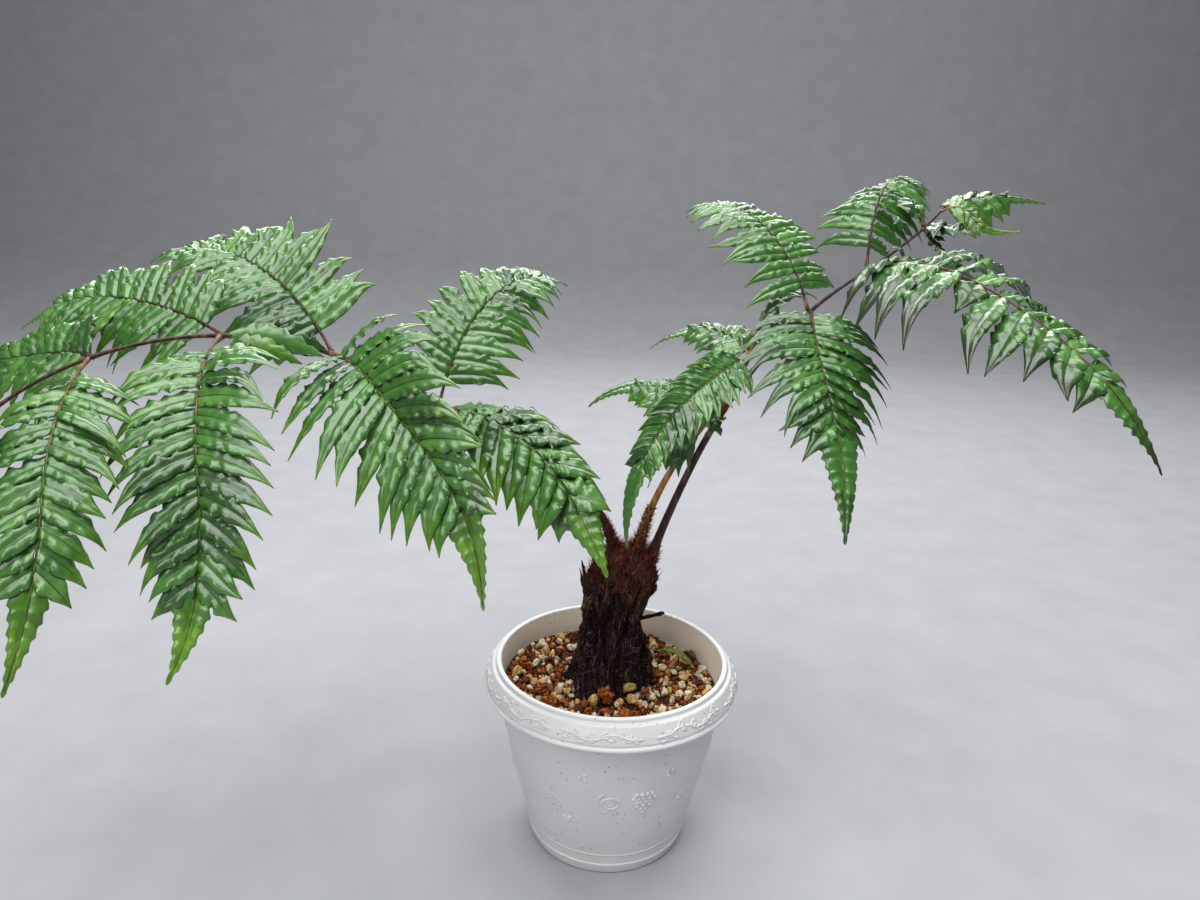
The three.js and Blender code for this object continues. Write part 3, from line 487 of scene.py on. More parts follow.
BLADE = dict(
    columns=11, extra=0.0034, tooth_pitch=0.0080, tooth=0.0026, peak=0.78, full_leaf=0.05,
    fade=0.6, narrowing=0.7, swell=(0.1, 1.5), ripple=0.0012, groove=0.0006, puff=0.12,
)
RIB = dict(rows=45, sides=8, reach=0.985, thick=0.00108, least=0.45, full_leaf=0.09, taper=0.78,
           foot=0.0007, foot_reach=0.03, proud=0.0001)
STALK = dict(steps=120, sides=14, swell_reach=0.016, knot=0.22, knot_reach=0.005,
             slim_at=(0.3, 0.6))

# The shades of a leaflet and their odds, those towards its tip, each from a share of its
# length on, and those of a rib, each from a share of the rib's length on

TONES = dict(
    usual=(("leaf_mid", "leaf_deep", "leaf_light"), (0.56, 0.20, 0.24)),
    dark=(("leaf_deep", "leaf_dark"), (0.7, 0.3)),
    young=(("leaf_young", "leaf_light"), (0.6, 0.4)),
)
TIPS = dict(
    light=((0.72, "leaf_fresh"),),
    lime=((0.70, "leaf_fresh"), (0.92, "leaf_lime")),
    deep=((0.55, "leaf_deep"), (0.90, "leaf_dark")),
    dark=((0.42, "leaf_deep"), (0.74, "leaf_dark")),
    young=((0.55, "leaf_lime"),),
    blade=((0.42, "leaf_lime"),),
)
RIBS = dict(
    rib_maroon=((0, "rib_red"), (0.035, "rib_maroon"), (0.75, "rib_olive")),
    rib_brown=((0, "rib_brown"), (0.45, "rib_olive")),
    rib_tan=((0, "rib_tan"), (0.36, "rib_olive")),
    rib_red=((0, "rib_red"),),
    rib_olive=((0, "rib_tan"), (0.22, "rib_olive")),
)


def direction(bearing, rise):
    """The unit vectors at these bearings and rises."""
    b, r = np.broadcast_arrays(np.radians(bearing), np.radians(rise))
    return np.stack([np.cos(r) * np.cos(b), np.cos(r) * np.sin(b), np.sin(r)], -1)


def through(values, share):
    """The values at these shares of the way through a list of evenly spaced values."""
    return np.interp(share, np.linspace(0, 1, len(values)), values)


def unit(vectors):
    return vectors / np.linalg.norm(vectors, axis=-1, keepdims=True)


def polar(radius, turn, height):
    """Points at these distances from the axis, turns in radians and heights."""
    radius, turn, height = np.broadcast_arrays(radius, turn, height)
    return np.stack([radius * np.cos(turn), radius * np.sin(turn), height], -1)


def curve(start, middle, end, share):
    """Points on the curve from start to end that middle pulls towards itself."""
    start, middle, end = np.array(start), np.array(middle), np.array(end)
    return start * (1 - share) ** 2 + 2 * middle * share * (1 - share) + end * share**2


class Route:
    """A line that turns evenly through the listed bearings and rises."""

    steps = 120

    def __init__(self, start, length, bearing, rise):
        self.length, self.bearing, self.rise = length, bearing, rise
        middles = (np.arange(self.steps) + 0.5) / self.steps
        moves = self.heading(middles) * (length / self.steps)
        self.points = np.vstack([start, np.asarray(start) + np.cumsum(moves, axis=0)])

    def heading(self, share):
        return direction(through(self.bearing, share), through(self.rise, share))

    def at(self, distance):
        """The points and the headings at these distances."""
        share = np.clip(np.asarray(distance, float) / self.length, 0, 1)
        marks = np.linspace(0, 1, self.steps + 1)
        point = np.stack([np.interp(share, marks, self.points[:, k]) for k in range(3)], -1)
        return point, self.heading(share)


# Meshes

def put(name, data):
    """A new object in the scene."""
    made = bpy.data.objects.new(name, data)
    bpy.context.scene.collection.objects.link(made)
    return made


class Pile:
    """Gathers many small surfaces, each with its shade of material, into one piece."""

    def __init__(self, shades):
        self.shades = list(shades)
        self.points, self.faces, self.index = [], [], []
        self.count = 0

    def add(self, points, faces, shade):
        """faces is a list of arrays of corners. shade is one name, or a list with one index
        or an array of indexes for each of them."""
        points = np.asarray(points, float).reshape(-1, 3)
        if not isinstance(shade, list):
            shade = [self.shades.index(shade)] * len(faces)
        for one, index in zip(faces, shade):
            self.faces.append(one + self.count)
            self.index.append(np.broadcast_to(index, len(one)))
        self.points.append(points)
        self.count += len(points)

    def piece(self, name, slot, nodes, sharp=None):
        """Makes the piece, which rides on the root and stands for the nodes."""
        mesh = bpy.data.meshes.new(name)
        points = np.concatenate(self.points)
        mesh.vertices.add(len(points))
        mesh.vertices.foreach_set("co", points.ravel())
        corners = np.concatenate([one.ravel() for one in self.faces])
        sizes = np.concatenate([np.full(len(one), one.shape[1]) for one in self.faces])
        mesh.loops.add(len(corners))
        mesh.loops.foreach_set("vertex_index", corners.astype(np.int32))
        mesh.polygons.add(len(sizes))
        starts = np.concatenate([[0], np.cumsum(sizes)[:-1]])
        mesh.polygons.foreach_set("loop_start", starts.astype(np.int32))
        for shade in self.shades:
            mesh.materials.append(MATERIALS[shade])
        index = np.concatenate(self.index).astype(np.int32)
        mesh.polygons.foreach_set("material_index", index)
        mesh.polygons.foreach_set("use_smooth", np.ones(len(sizes), bool))
        mesh.update(calc_edges=True)
        mesh.validate()
        if sharp is not None:
            mesh.set_sharp_from_angle(angle=np.radians(sharp))
        piece = put(name, mesh)
        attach(piece, "root")
        if nodes:
            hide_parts(*nodes)


@lru_cache(maxsize=None)
def grid_faces(rows, columns, wrap=False):
    """The quads of a grid of points, where wrap joins the last column to the first."""
    i, j = np.meshgrid(np.arange(rows - 1), np.arange(columns - (not wrap)), indexing="ij")
    k = (j + 1) % columns
    corners = [i * columns + j, (i + 1) * columns + j, (i + 1) * columns + k, i * columns + k]
    return np.stack(corners, -1).reshape(-1, 4)


@lru_cache(maxsize=None)
def shell_faces(rows, columns):
    """The quads of a closed shell: its upper grid, its lower grid and its rim."""
    top = grid_faces(rows, columns)
    below = rows * columns
    near = np.arange(columns)
    far = near + (rows - 1) * columns
    left = np.arange(rows) * columns
    right = left + columns - 1
    rim = np.concatenate([near, right[1:], far[::-1][1:], left[::-1][1:-1]])
    after = np.roll(rim, -1)
    side = np.stack([rim, after, after + below, rim + below], -1)
    return np.concatenate([top, top[:, ::-1] + below, side])


def shell(grid, thick):
    """A closed shell of this thickness round a grid of points."""
    along = np.gradient(grid, axis=0)
    across = np.gradient(grid, axis=1)
    normal = unit(np.cross(along, across) + 1e-12)
    rows, columns = grid.shape[:2]
    points = np.concatenate([grid + normal * thick / 2, grid - normal * thick / 2])
    return points.reshape(-1, 3), [shell_faces(rows, columns)]


@lru_cache(maxsize=None)
def closed_faces(rows, columns):
    """The quads of rings one after another, and the two fans that close the first and the
    last ring to the middles that follow the rings' points."""
    near = np.arange(columns)
    far = near + (rows - 1) * columns
    hub = np.full(columns, rows * columns)
    return [
        grid_faces(rows, columns, True)[:, ::-1],
        np.stack([hub, np.roll(near, -1), near], -1),
        np.stack([hub + 1, far, np.roll(far, -1)], -1),
    ]


def tube(points, radii, sides):
    """A closed round tube along points, with these radii."""
    points = np.asarray(points, float)
    along = unit(np.gradient(points, axis=0))
    axis = np.eye(3)[np.argmin(np.abs(along).mean(axis=0))]
    across = unit(np.cross(along, axis))
    over = np.cross(along, across)
    turn = np.linspace(0, 2 * np.pi, sides, endpoint=False)
    radii = np.broadcast_to(radii, len(points))[:, None, None]
    ring = across[:, None] * np.cos(turn)[:, None] + over[:, None] * np.sin(turn)[:, None]
    rings = (points[:, None] + radii * ring).reshape(-1, 3)
    return np.concatenate([rings, points[[0, -1]]]), closed_faces(len(points), sides)


# Materials

def principled(name, roughness, **sockets):
    """A material with its shader's own sockets set, its links and its shader."""
    made = bpy.data.materials.new(name)
    made.use_nodes = True
    shader = made.node_tree.nodes["Principled BSDF"]
    shader.inputs["Roughness"].default_value = roughness
    for socket, value in sockets.items():
        shader.inputs[socket.replace("_", " ")].default_value = value
    return made, made.node_tree, shader


def texture(tree, scale, kind="Noise", stretch=(1, 1, 1), **values):
    """The output of a procedural texture in the object's own metres."""
    place = tree.nodes.new("ShaderNodeTexCoord")
    mapping = tree.nodes.new("ShaderNodeMapping")
    mapping.inputs["Scale"].default_value = stretch
    tree.links.new(place.outputs["Object"], mapping.inputs["Vector"])
    node = tree.nodes.new("ShaderNodeTex" + kind)
    tree.links.new(mapping.outputs["Vector"], node.inputs["Vector"])
    node.inputs["Scale"].default_value = scale
    for socket, value in values.items():
        node.inputs[socket].default_value = value
    return node.outputs["Fac" if kind == "Noise" else "Distance"]


def ramp(tree, value, stops):
    """A colour for each height of a value, from (height, colour) stops."""
    node = tree.nodes.new("ShaderNodeValToRGB")
    elements = node.color_ramp.elements
    while len(elements) < len(stops):
        elements.new(0.5)
    for element, (height, color) in zip(elements, stops):
        element.position = height
        element.color = (*color, 1)
    tree.links.new(value, node.inputs["Fac"])
    return node.outputs["Color"]


def bump(tree, shader, value, depth):
    """Relief of this depth in metres."""
    node = tree.nodes.new("ShaderNodeBump")
    node.inputs["Distance"].default_value = depth
    node.inputs["Strength"].default_value = 1
    tree.links.new(value, node.inputs["Height"])
    tree.links.new(node.outputs["Normal"], shader.inputs["Normal"])


def shaded(scale, color):
    """A colour made darker."""
    return tuple(scale * channel for channel in color)


def mottled(name, surface, color, light, roughness=None):
    """A surface that is mottled or streaked between a dark, a full and a light tone, with a
    relief of its own grain or of the same streaks."""
    s = SURFACES[surface]
    made, tree, shader = principled(name, roughness or s["roughness"], **s["sockets"])
    tone = texture(tree, **s["tone"])
    stops = zip(s["heights"], (shaded(s["dark"], color), color, light))
    tree.links.new(ramp(tree, tone, tuple(stops)), shader.inputs["Base Color"])
    grain = texture(tree, **s["grain"]) if "grain" in s else tone
    bump(tree, shader, grain, s["relief"])
    return made


def plastic(name, surface, color, dirt):
    """Moulded plastic with a faint orange-peel surface, a dusty tone and specks of dirt."""
    s = SURFACES[surface]
    made, tree, shader = principled(name, s["roughness"])
    stops = zip(s["heights"], (shaded(s["dark"], color), color))
    base = ramp(tree, texture(tree, **s["tone"]), tuple(stops))
    specks = ramp(tree, texture(tree, **s["specks"]), tuple(zip(s["speck"], (WHITE, BLACK))))
    few = ramp(tree, texture(tree, **s["patches"]), tuple(zip(s["few"], (BLACK, WHITE))))
    both = tree.nodes.new("ShaderNodeMath")
    both.operation = "MULTIPLY"
    tree.links.new(specks, both.inputs[0])
    tree.links.new(few, both.inputs[1])
    mix = tree.nodes.new("ShaderNodeMix")
    mix.data_type = "RGBA"
    tree.links.new(both.outputs[0], mix.inputs["Factor"])
    tree.links.new(base, mix.inputs["A"])
    mix.inputs["B"].default_value = (*dirt, 1)
    tree.links.new(mix.outputs["Result"], shader.inputs["Base Color"])
    bump(tree, shader, texture(tree, **s["grain"]), s["relief"])
    return made


MATERIALS = {
    name: (plastic if surface == "plastic" else mottled)(name, surface, *colors)
    for surface, shades in COLORS.items() for name, colors in shades.items()
}


# Camera, light and floor

def add_camera():
    """The camera of the photograph."""
    pitch, roll = np.radians(CAMERA["pitch"]), np.radians(CAMERA["roll"])
    forward = Vector((0, np.cos(pitch), -np.sin(pitch)))
    level = Vector((1, 0, 0))
    down = forward.cross(level)
    right = level * np.cos(roll) + down * np.sin(roll)
    low = down * np.cos(roll) - level * np.sin(roll)
    data = bpy.data.cameras.new("camera")
    data.sensor_width = CAMERA["sensor"]
    data.lens = CAMERA["sensor"] * CAMERA["focal"] / CAMERA["wide"]
    data.clip_start = CAMERA["nearest"]
    camera = put("camera", data)
    turn = Matrix((right, -low, -forward)).transposed().to_4x4()
    camera.matrix_world = Matrix.Translation(CAMERA["place"]) @ turn
    bpy.context.scene.camera = camera


def add_stage():
    """The softboxes, the sky and a backdrop that bends up behind the plant."""
    scene = bpy.context.scene
    scene.view_settings.view_transform = "Standard"
    world = bpy.data.worlds.new("studio")
    world.use_nodes = True
    sky = world.node_tree.nodes["Background"]
    sky.inputs["Color"].default_value = SKY["color"]
    sky.inputs["Strength"].default_value = SKY["strength"]
    scene.world = world
    for name, place, target, size, radiance in LIGHTS:
        data = bpy.data.lights.new(name, "AREA")
        data.shape = "RECTANGLE"
        data.size, data.size_y = size
        data.energy = radiance * np.pi * size[0] * size[1]
        light = put(name, data)
        light.location = place
        aim = Vector(target) - Vector(place)
        light.rotation_euler = aim.to_track_quat("-Z", "Y").to_euler()
    b = BACKDROP
    turn = np.linspace(0, np.pi / 2, b["steps"])
    y = b["bend_from"] + b["bend"] * np.sin(turn)
    z = b["bend"] * (1 - np.cos(turn))
    sweep = [(b["near"], 0.0), *zip(y, z), (y[-1], b["top"])]
    points = [(x, y, z) for y, z in sweep for x in (-b["half"], b["half"])]
    faces = [(2 * k, 2 * k + 1, 2 * k + 3, 2 * k + 2) for k in range(len(sweep) - 1)]
    mesh = bpy.data.meshes.new("floor")
    mesh.from_pydata(points, [], faces)
    mesh.polygons.foreach_set("use_smooth", [True] * len(faces))
    made, tree, shader = principled("floor", b["roughness"])
    tone = ramp(tree, texture(tree, **b["tone"]), b["stops"])
    tree.links.new(tone, shader.inputs["Base Color"])
    mesh.materials.append(made)
    put("floor", mesh)


# Leaflets and pinnae

def stalk_route(frond):
    """The line of a frond's stalk."""
    return Route(frond["start"], frond["length"], frond["bearing"], frond["rise"])


def stalk_radius(frond, distance):
    """The stalk tapers evenly and swells towards its foot."""
    thick, thin = frond["radius"]
    even = thick + (thin - thick) * np.asarray(distance) / frond["length"]
    return even + frond["swell"] * np.exp(-np.asarray(distance) / STALK["swell_reach"])


def leaf_share(share):
    """How long a leaflet is at a share of its pinna, as a share of the longest one."""
    at = PINNA["longest_at"]
    near = 1 - PINNA["first_short"] * np.maximum(0, 1 - share / at) ** 2
    beyond = np.maximum(0, (share - at) / (1 - at))
    return near - PINNA["last_short"] * beyond ** PINNA["shortening"]


class Pinna:
    """A pinna's rib with the frame along it."""

    def __init__(self, frond, sizes):
        self.sizes = sizes
        self.length = sizes["length"]
        point, along = stalk_route(frond).at(sizes["at"])
        away = direction(sizes["bearing"][0], sizes["rise"][0])
        cosine = away @ along
        crossing = np.sqrt(1 - cosine * cosine)
        at_end = sizes["at"] == frond["length"]
        reach = stalk_radius(frond, sizes["at"]) + PINNA["gap"]
        sideways = (reach + PINNA["rib_half"] * abs(cosine)) / crossing
        end_on = (PINNA["gap"] + PINNA["rib_half"] * crossing) / cosine
        self.inset = PINNA["end_inset"] if at_end else stalk_radius(frond, sizes["at"])
        start = point + away * (end_on if at_end else sideways)
        self.route = Route(start, self.length, sizes["bearing"], sizes["rise"])
        self.away = away
        usual = direction(frond["bearing"][0] + 90, 0) if at_end else along
        self.side = direction(*sizes["side"]) if "side" in sizes else usual
        self.turn = -1 if np.cross(away, self.side)[2] < 0 else 1
        self.tip_from = sizes["free"] * self.length
        self.blade_half = PINNA["blade_share"] * sizes["leaf"]
        self.leaves_from = sizes["first"] * self.length
        room = self.tip_from - self.leaves_from
        self.pairs = round(room / sizes["pitch"])
        self.pitch = room / self.pairs

    def frame(self, distance):
        """The points, the headings, the ways across and the ways out of the upper face."""
        point, along = self.route.at(distance)
        flat = self.side - along * np.sum(self.side * along, axis=-1, keepdims=True)
        across = unit(flat) * self.turn
        roll = np.radians(self.sizes["roll"])
        across = across * np.cos(roll) + np.cross(along, across) * np.sin(roll)
        return point, along, across, np.cross(along, across)

    def half(self, distance):
        """The half width of the rib and of the blade at the tip."""
        past = np.asarray(distance, float) - self.tip_from
        share = np.maximum(0, past / (self.length - self.tip_from))
        full = self.blade_half + (PINNA["tip_half"] - self.blade_half) * share
        widened = np.clip((past + PINNA["neck"]) / PINNA["widening"], 0, 1)
        return PINNA["rib_half"] + (full - PINNA["rib_half"]) * widened


def leaflet(pinna, middle, sign, length, rng):
    """The grid of one leaflet's blade: puffed up between its side veins, with waved margins,
    a grooved midvein and a long drooping tail."""
    leaf, sizes = LEAFLET, pinna.sizes
    rows = int(np.clip(round(length / leaf["row"]), *leaf["rows"]))
    steps = leaf["steps"] if length > leaf["fine_from"] else leaf["few_steps"]
    point, along, across, over = pinna.frame(middle)
    share = middle / pinna.tip_from
    turned = sizes["slant"] + PINNA["slant_turn"] * (1 - 2 * share)
    slant = np.radians(max(turned, PINNA["least_slant"]) + rng.normal(0, leaf["slant_spread"]))
    fold = np.radians(sizes["fold"] + rng.normal(0, leaf["turn_spread"]))
    out = across * np.cos(fold) - over * sign * np.sin(fold)
    way = along * np.cos(slant) + out * sign * np.sin(slant)
    wide = unit(along - way * (along @ way))
    normal = np.cross(way, wide)
    normal = normal if normal @ over > 0 else -normal
    tilt = np.radians(leaf["shingle"] + rng.normal(0, leaf["turn_spread"]))
    wide, normal = (wide * np.cos(tilt) + normal * np.sin(tilt),
                    normal * np.cos(tilt) - wide * np.sin(tilt))
    u = np.linspace(0, 1, rows)[:, None]
    v = np.concatenate([-np.array(steps[::-1]), steps])[None, :]
    tail = np.clip((u - leaf["tail_from"]) / (1 - leaf["tail_from"]), 0, 1) ** 2
    sweep = leaf["sweep"] + rng.normal(0, leaf["sweep_spread"])
    curl = leaf["tail_curl"] * sizes["tails"] * rng.normal(*leaf["curls"])
    drop = leaf["tail_drop"] * sizes["tails"] * rng.uniform(*leaf["drops"])
    limp = sizes["limp"] * (sign < 0) * max(0, 1 - share / leaf["limp_to"])
    past = max(0, share - leaf["taper_from"]) / (1 - leaf["taper_from"])
    length *= 1 - leaf["limp_short"] * limp - sizes["taper"] * past
    limp -= sizes["lift"][int(sign < 0)]
    line = (
        point
        + across * sign * PINNA["root"]
        + way * (length * u)[..., None]
        + over * (length * PINNA["arch"] * 4 * u * (1 - u))[..., None]
        - UP * (length * ((PINNA["sag"] + limp) * u * u + drop * tail))[..., None]
        + wide * (length * (sweep * u * u + curl * tail))[..., None]
    )
    lie = np.clip(1 - u / leaf["lie"], 0, 1) ** 1.5 / np.tan(slant)
    half = pinna.pitch / 2 * np.interp(u, leaf["outline_at"], leaf["outline"])
    half = half * sizes["wide"] * (1 + leaf["limp_wide"] * max(limp, 0))
    if sizes["stalked"]:
        half = half * np.interp(u, leaf["stalked_at"], leaf["stalked"])
    near, far = leaf["ease"]
    ease = np.clip(u / near, 0, 1) * np.clip((1 - u) / far, 0, 1)
    wave, ripple = ruffle(u, v, length, ease, rng)
    reach = half * (1 + leaf["margin"] * wave * np.abs(v) ** 2)
    puff = leaf["bulge"] * np.sin(np.pi * np.abs(v)) - leaf["camber"] * v**2
    groove = leaf["groove"] * np.exp(-((v / leaf["groove_half"]) ** 2))
    twist = rng.normal(0, leaf["twist"]) * v * u
    height = half * (ripple + puff - groove + twist)
    spread = wide * (v * reach)[..., None] + way * (v * reach * lie)[..., None]
    return line + spread + normal * height[..., None]


def ruffle(u, v, length, ease, rng):
    """Uneven waves along either margin, and the height of the ruffled blade: it swings most
    at the margins and is faintly pleated further in."""
    r = RUFFLE
    side = (v > 0).astype(int)
    waves = 2 * np.pi * length / r["band"] * rng.uniform(*r["spread"], 2)[side]
    phase = rng.uniform(0, 2 * np.pi, 2)[side]
    slope = waves * (u - r["lag"] * np.abs(v)) + phase
    slow = rng.uniform(0, 2 * np.pi, 2)[side]
    even, more = r["swell"]
    height, pace = r["second"]
    wave = np.sin(slope) + height * np.sin(pace * slope + slow)
    wave = ease * (even + more * np.sin(waves * r["slow"] * u + slow)) * wave
    pleat = r["pleat"] * ease * np.sin(r["pleats"] * slope) * np.sin(np.pi * np.abs(v))
    return wave, r["ripple"] * wave * np.abs(v) ** 1.5 + pleat


def blade(pinna, rng):
    """The grid of the toothed blade at a pinna's tip, with its rib as the middle line."""
    b, sizes = BLADE, pinna.sizes
    room = pinna.length - pinna.tip_from
    teeth = max(2, round(room / b["tooth_pitch"]))
    distance = np.linspace(pinna.tip_from - PINNA["neck"], pinna.length, 7 * teeth + 3)
    point, _, across, over = pinna.frame(distance)
    v = np.linspace(-1, 1, b["columns"])[None, :]
    share = np.clip((distance - pinna.tip_from) / room, 0, 1)
    turns = (distance - pinna.tip_from) / room * teeth
    saw = turns - np.floor(turns)
    tooth = np.where(saw < b["peak"], saw / b["peak"], (1 - saw) / (1 - b["peak"]))
    scale = min(1, sizes["leaf"] / b["full_leaf"])
    fade = 1 - b["fade"] * share
    depth = b["tooth"] * scale * fade * (distance >= pinna.tip_from)
    wider = b["extra"] * sizes["broad"] * scale * (1 - share) * np.clip(share / 0.1, 0, 1)
    narrowing = 1 - b["narrowing"] * share**3
    half = (pinna.half(distance) * narrowing + wider + depth * tooth)[:, None]
    swell = rng.uniform(*b["swell"], (teeth + 4, 2))[np.floor(turns).astype(int) + 2]
    swell = np.where(v > 0, swell[:, :1], swell[:, 1:])
    wave = swell * np.cos(2 * np.pi * (turns[:, None] - 0.3 * np.abs(v)))
    ripple = b["ripple"] * scale * fade[:, None] * wave * np.abs(v) ** 0.7
    groove = b["groove"] * scale * np.exp(-((v / LEAFLET["groove_half"]) ** 2))
    fold = np.radians(sizes["fold"])
    out = across[:, None] * np.cos(fold) * (v * half)[..., None]
    puff = b["puff"] * half * np.sin(np.pi * np.abs(v))
    drop = -np.sin(fold) * np.abs(v) * half + ripple + puff - groove
    return point[:, None] + out + over[:, None] * drop[..., None]


def grow_pinna(pile, pinna, rng):
    """Adds a pinna's leaflets and blade to the pile."""
    sizes = pinna.sizes
    tones, odds = TONES[sizes["tones"]]
    tips = TIPS[sizes["tips"]]
    for k in range(pinna.pairs):
        middle = pinna.leaves_from + pinna.pitch * (k + 0.5)
        for sign in (1, -1):
            share = leaf_share(PINNA["leaf_shares"] * middle / pinna.tip_from)
            length = sizes["leaf"] * sizes["long"] * share * rng.uniform(*LEAFLET["uneven"])
            length *= LEAFLET["stunted"] if (k, sign) in sizes["gaps"] else 1
            grid = leaflet(pinna, middle, sign, length, rng)
            pile_leaf(pile, grid, rng.choice(tones, p=odds), tips, rng)
    tone = tones[0]
    if sizes["tips"] in ("lime", "young"):
        tone, tips = "leaf_fresh", TIPS["blade"]
    pile_leaf(pile, blade(pinna, rng), tone, tips, rng)


def pile_leaf(pile, grid, tone, tips, rng):
    """Adds one leaflet, whose shade changes raggedly towards its tip, with painted shade in the
    groove down its middle.
    """
    points, faces = shell(grid, LEAFLET["thick"])
    rows, columns = grid.shape[0] - 1, grid.shape[1] - 1
    whole, each = LEAFLET["ragged"]
    shift = rng.normal(0, whole) + rng.normal(0, each, columns)
    at = (np.arange(rows) / rows)[:, None] + shift
    # The middle column of faces takes painted shade up to a share of the length: the dark of the
    # groove down the leaflet's middle
    vein = np.zeros(at.shape, bool)
    vein[:, columns // 2] = columns % 2
    vein &= at < LEAFLET["vein"]
    edge = np.concatenate([np.zeros(columns), np.arange(rows), np.full(columns, rows),
                           np.arange(rows)[::-1]]) / rows
    vein = np.concatenate([vein.ravel(), vein.ravel(), np.zeros(len(edge), bool)])
    at = np.concatenate([at.ravel(), at.ravel(), edge])
    shade = np.full(len(at), pile.shades.index(tone))
    for begins, tip in tips:
        shade[at > begins] = pile.shades.index(tip)
    shade[vein] = pile.shades.index("leaf_vein")
    pile.add(points, faces, [shade])


def add_leaves():
    """The leaflets and tip blades, a piece for each side of each frond."""
    shades = ("leaf_mid", "leaf_deep", "leaf_light", "leaf_fresh", "leaf_lime", "leaf_dark",
              "leaf_young", "leaf_vein")
    rng = np.random.default_rng(7)
    for frond in FRONDS:
        for side in ("back", "front", "end"):
            chosen = [s for s in frond["pinnae"] if s["name"].startswith(side)]
            pile = Pile(shades)
            for sizes in chosen:
                grow_pinna(pile, Pinna(frond, sizes), rng)
            nodes = [f"{frond['name']}_pinna_{s['name']}" for s in chosen]
            pile.piece(f"{frond['name']}_leaflets_{side}", "leaf", nodes)


def add_singles():
    """The small leaves and curls that hang from the stalks one by one."""
    one = SINGLE
    rng = np.random.default_rng(61)
    pile = Pile(("leaf_mid", "leaf_deep", "leaf_dark", "leaf_fresh", "curl", "sheath"))
    stalks = {frond["name"]: stalk_route(frond) for frond in FRONDS}
    u = np.linspace(0, 1, 19)[:, None]
    v = np.linspace(-1, 1, 9)[None, :]
    ease = np.clip(4 * u, 0, 1) * np.clip(4 - 4 * u, 0, 1)
    for frond, distance, middle, end, wide, shade in SINGLES:
        start = stalks[frond].at(distance)[0]
        line = curve(start, 2 * np.array(middle) - (start + end) / 2, end, u)
        across = unit(np.cross(end - start, one["facing"]))
        rolled = one["rolled"] if shade in ("curl", "sheath") else one["flat"]
        half = wide * np.interp(u, one["outline_at"], one["outline"])
        wave, ripple = ruffle(u, v, np.linalg.norm(end - start), ease, rng)
        half = half * (1 + one["margin"] * wave * v**2)
        turn = rolled * v + one["swing"] * ripple
        flat = across * (np.sin(turn) / rolled * half)[..., None]
        height = (1 - np.cos(turn) + one["ripple"] * ripple) / rolled * half
        deep = unit(np.cross(end - start, across)) * height[..., None]
        pile.add(*shell(line[:, None] + flat + deep, one["thick"]), shade)
    pile.piece("small_leaves", "leaf", ())


def add_ribs():
    """The ribs of the pinnae, which run on into the stalk and to the blade's tip."""
    r = RIB
    rows, sides = r["rows"], r["sides"]
    for frond in FRONDS:
        pile = Pile(("rib_maroon", "rib_tan", "rib_red", "rib_olive", "rib_brown"))
        for sizes in frond["pinnae"]:
            pinna = Pinna(frond, sizes)
            distance = np.linspace(0, sizes["length"] * r["reach"], rows - 1)
            point, _, _, over = pinna.frame(distance)
            root = point[0] - pinna.away * pinna.inset
            share = np.concatenate([[0], distance / sizes["length"]])
            thick = r["thick"] * min(1, r["least"] + sizes["leaf"] / r["full_leaf"])
            radii = thick * (1 - r["taper"] * share) + r["foot"] * np.exp(-share / r["foot_reach"])
            shade = np.zeros((rows - 1, sides), int)
            for begins, name in RIBS[sizes["rib"]]:
                shade[share[:-1] >= begins] = pile.shades.index(name)
            points, faces = tube(np.vstack([root, point + over * r["proud"]]), radii, sides)
            pile.add(points, faces, [shade.ravel(), shade[0, 0], shade[-1, 0]])
        pile.piece(f"{frond['name']}_ribs", "leaf", ())


def add_stalks():
    """The stalks, with a knot where each pinna leaves them."""
    s = STALK
    for frond in FRONDS:
        distance = np.linspace(0, frond["length"], s["steps"])
        point = stalk_route(frond).at(distance)[0]
        joints = np.array([sizes["at"] for sizes in frond["pinnae"]])
        knots = np.exp(-((distance[:, None] - joints) / s["knot_reach"]) ** 2).sum(axis=1)
        slim = np.interp(distance / frond["length"], s["slim_at"], (1, frond["slim"]))
        radii = slim * stalk_radius(frond, distance) * (1 + s["knot"] * np.minimum(knots, 1))
        pile = Pile([frond["bark"]])
        pile.add(*tube(point, radii, s["sides"]), frond["bark"])
        pile.piece(f"{frond['name']}_stalk", "stalk", frond["nodes"])


# Trunk

def trunk_point(up, bearing, reach):
    """A point at a height above the filling, a bearing and a distance from the middle."""
    up, bearing, reach = np.broadcast_arrays(up, bearing, reach)
    share = up / TRUNK["height"]
    middle = np.stack([through(TRUNK["lean_x"], share), through(TRUNK["lean_y"], share),
                       TRUNK["foot"] + up], -1)
    return middle + direction(bearing, 0) * reach[..., None]


@lru_cache(maxsize=None)
def bark():
    """How far the matted bark stands out, over even heights and bearings."""
    rows, columns = BARK["rows"], BARK["columns"]
    rough = np.zeros((rows, columns + 1))
    for i, up in enumerate(np.linspace(0, TRUNK["height"], rows)):
        for j, turn in enumerate(np.linspace(0, 2 * np.pi, columns + 1)):
            c, s = np.cos(turn), np.sin(turn)
            for around, along, depth, detail in RELIEF:
                place = Vector((around * c, around * s, along * up))
                rough[i, j] += depth * noise.fractal(place, *BARK["fractal"], detail)
    return rough


def apart(bearing, middle, width):
    """How far bearings are from a middle one, in widths."""
    return ((bearing - middle + 180) % 360 - 180) / width


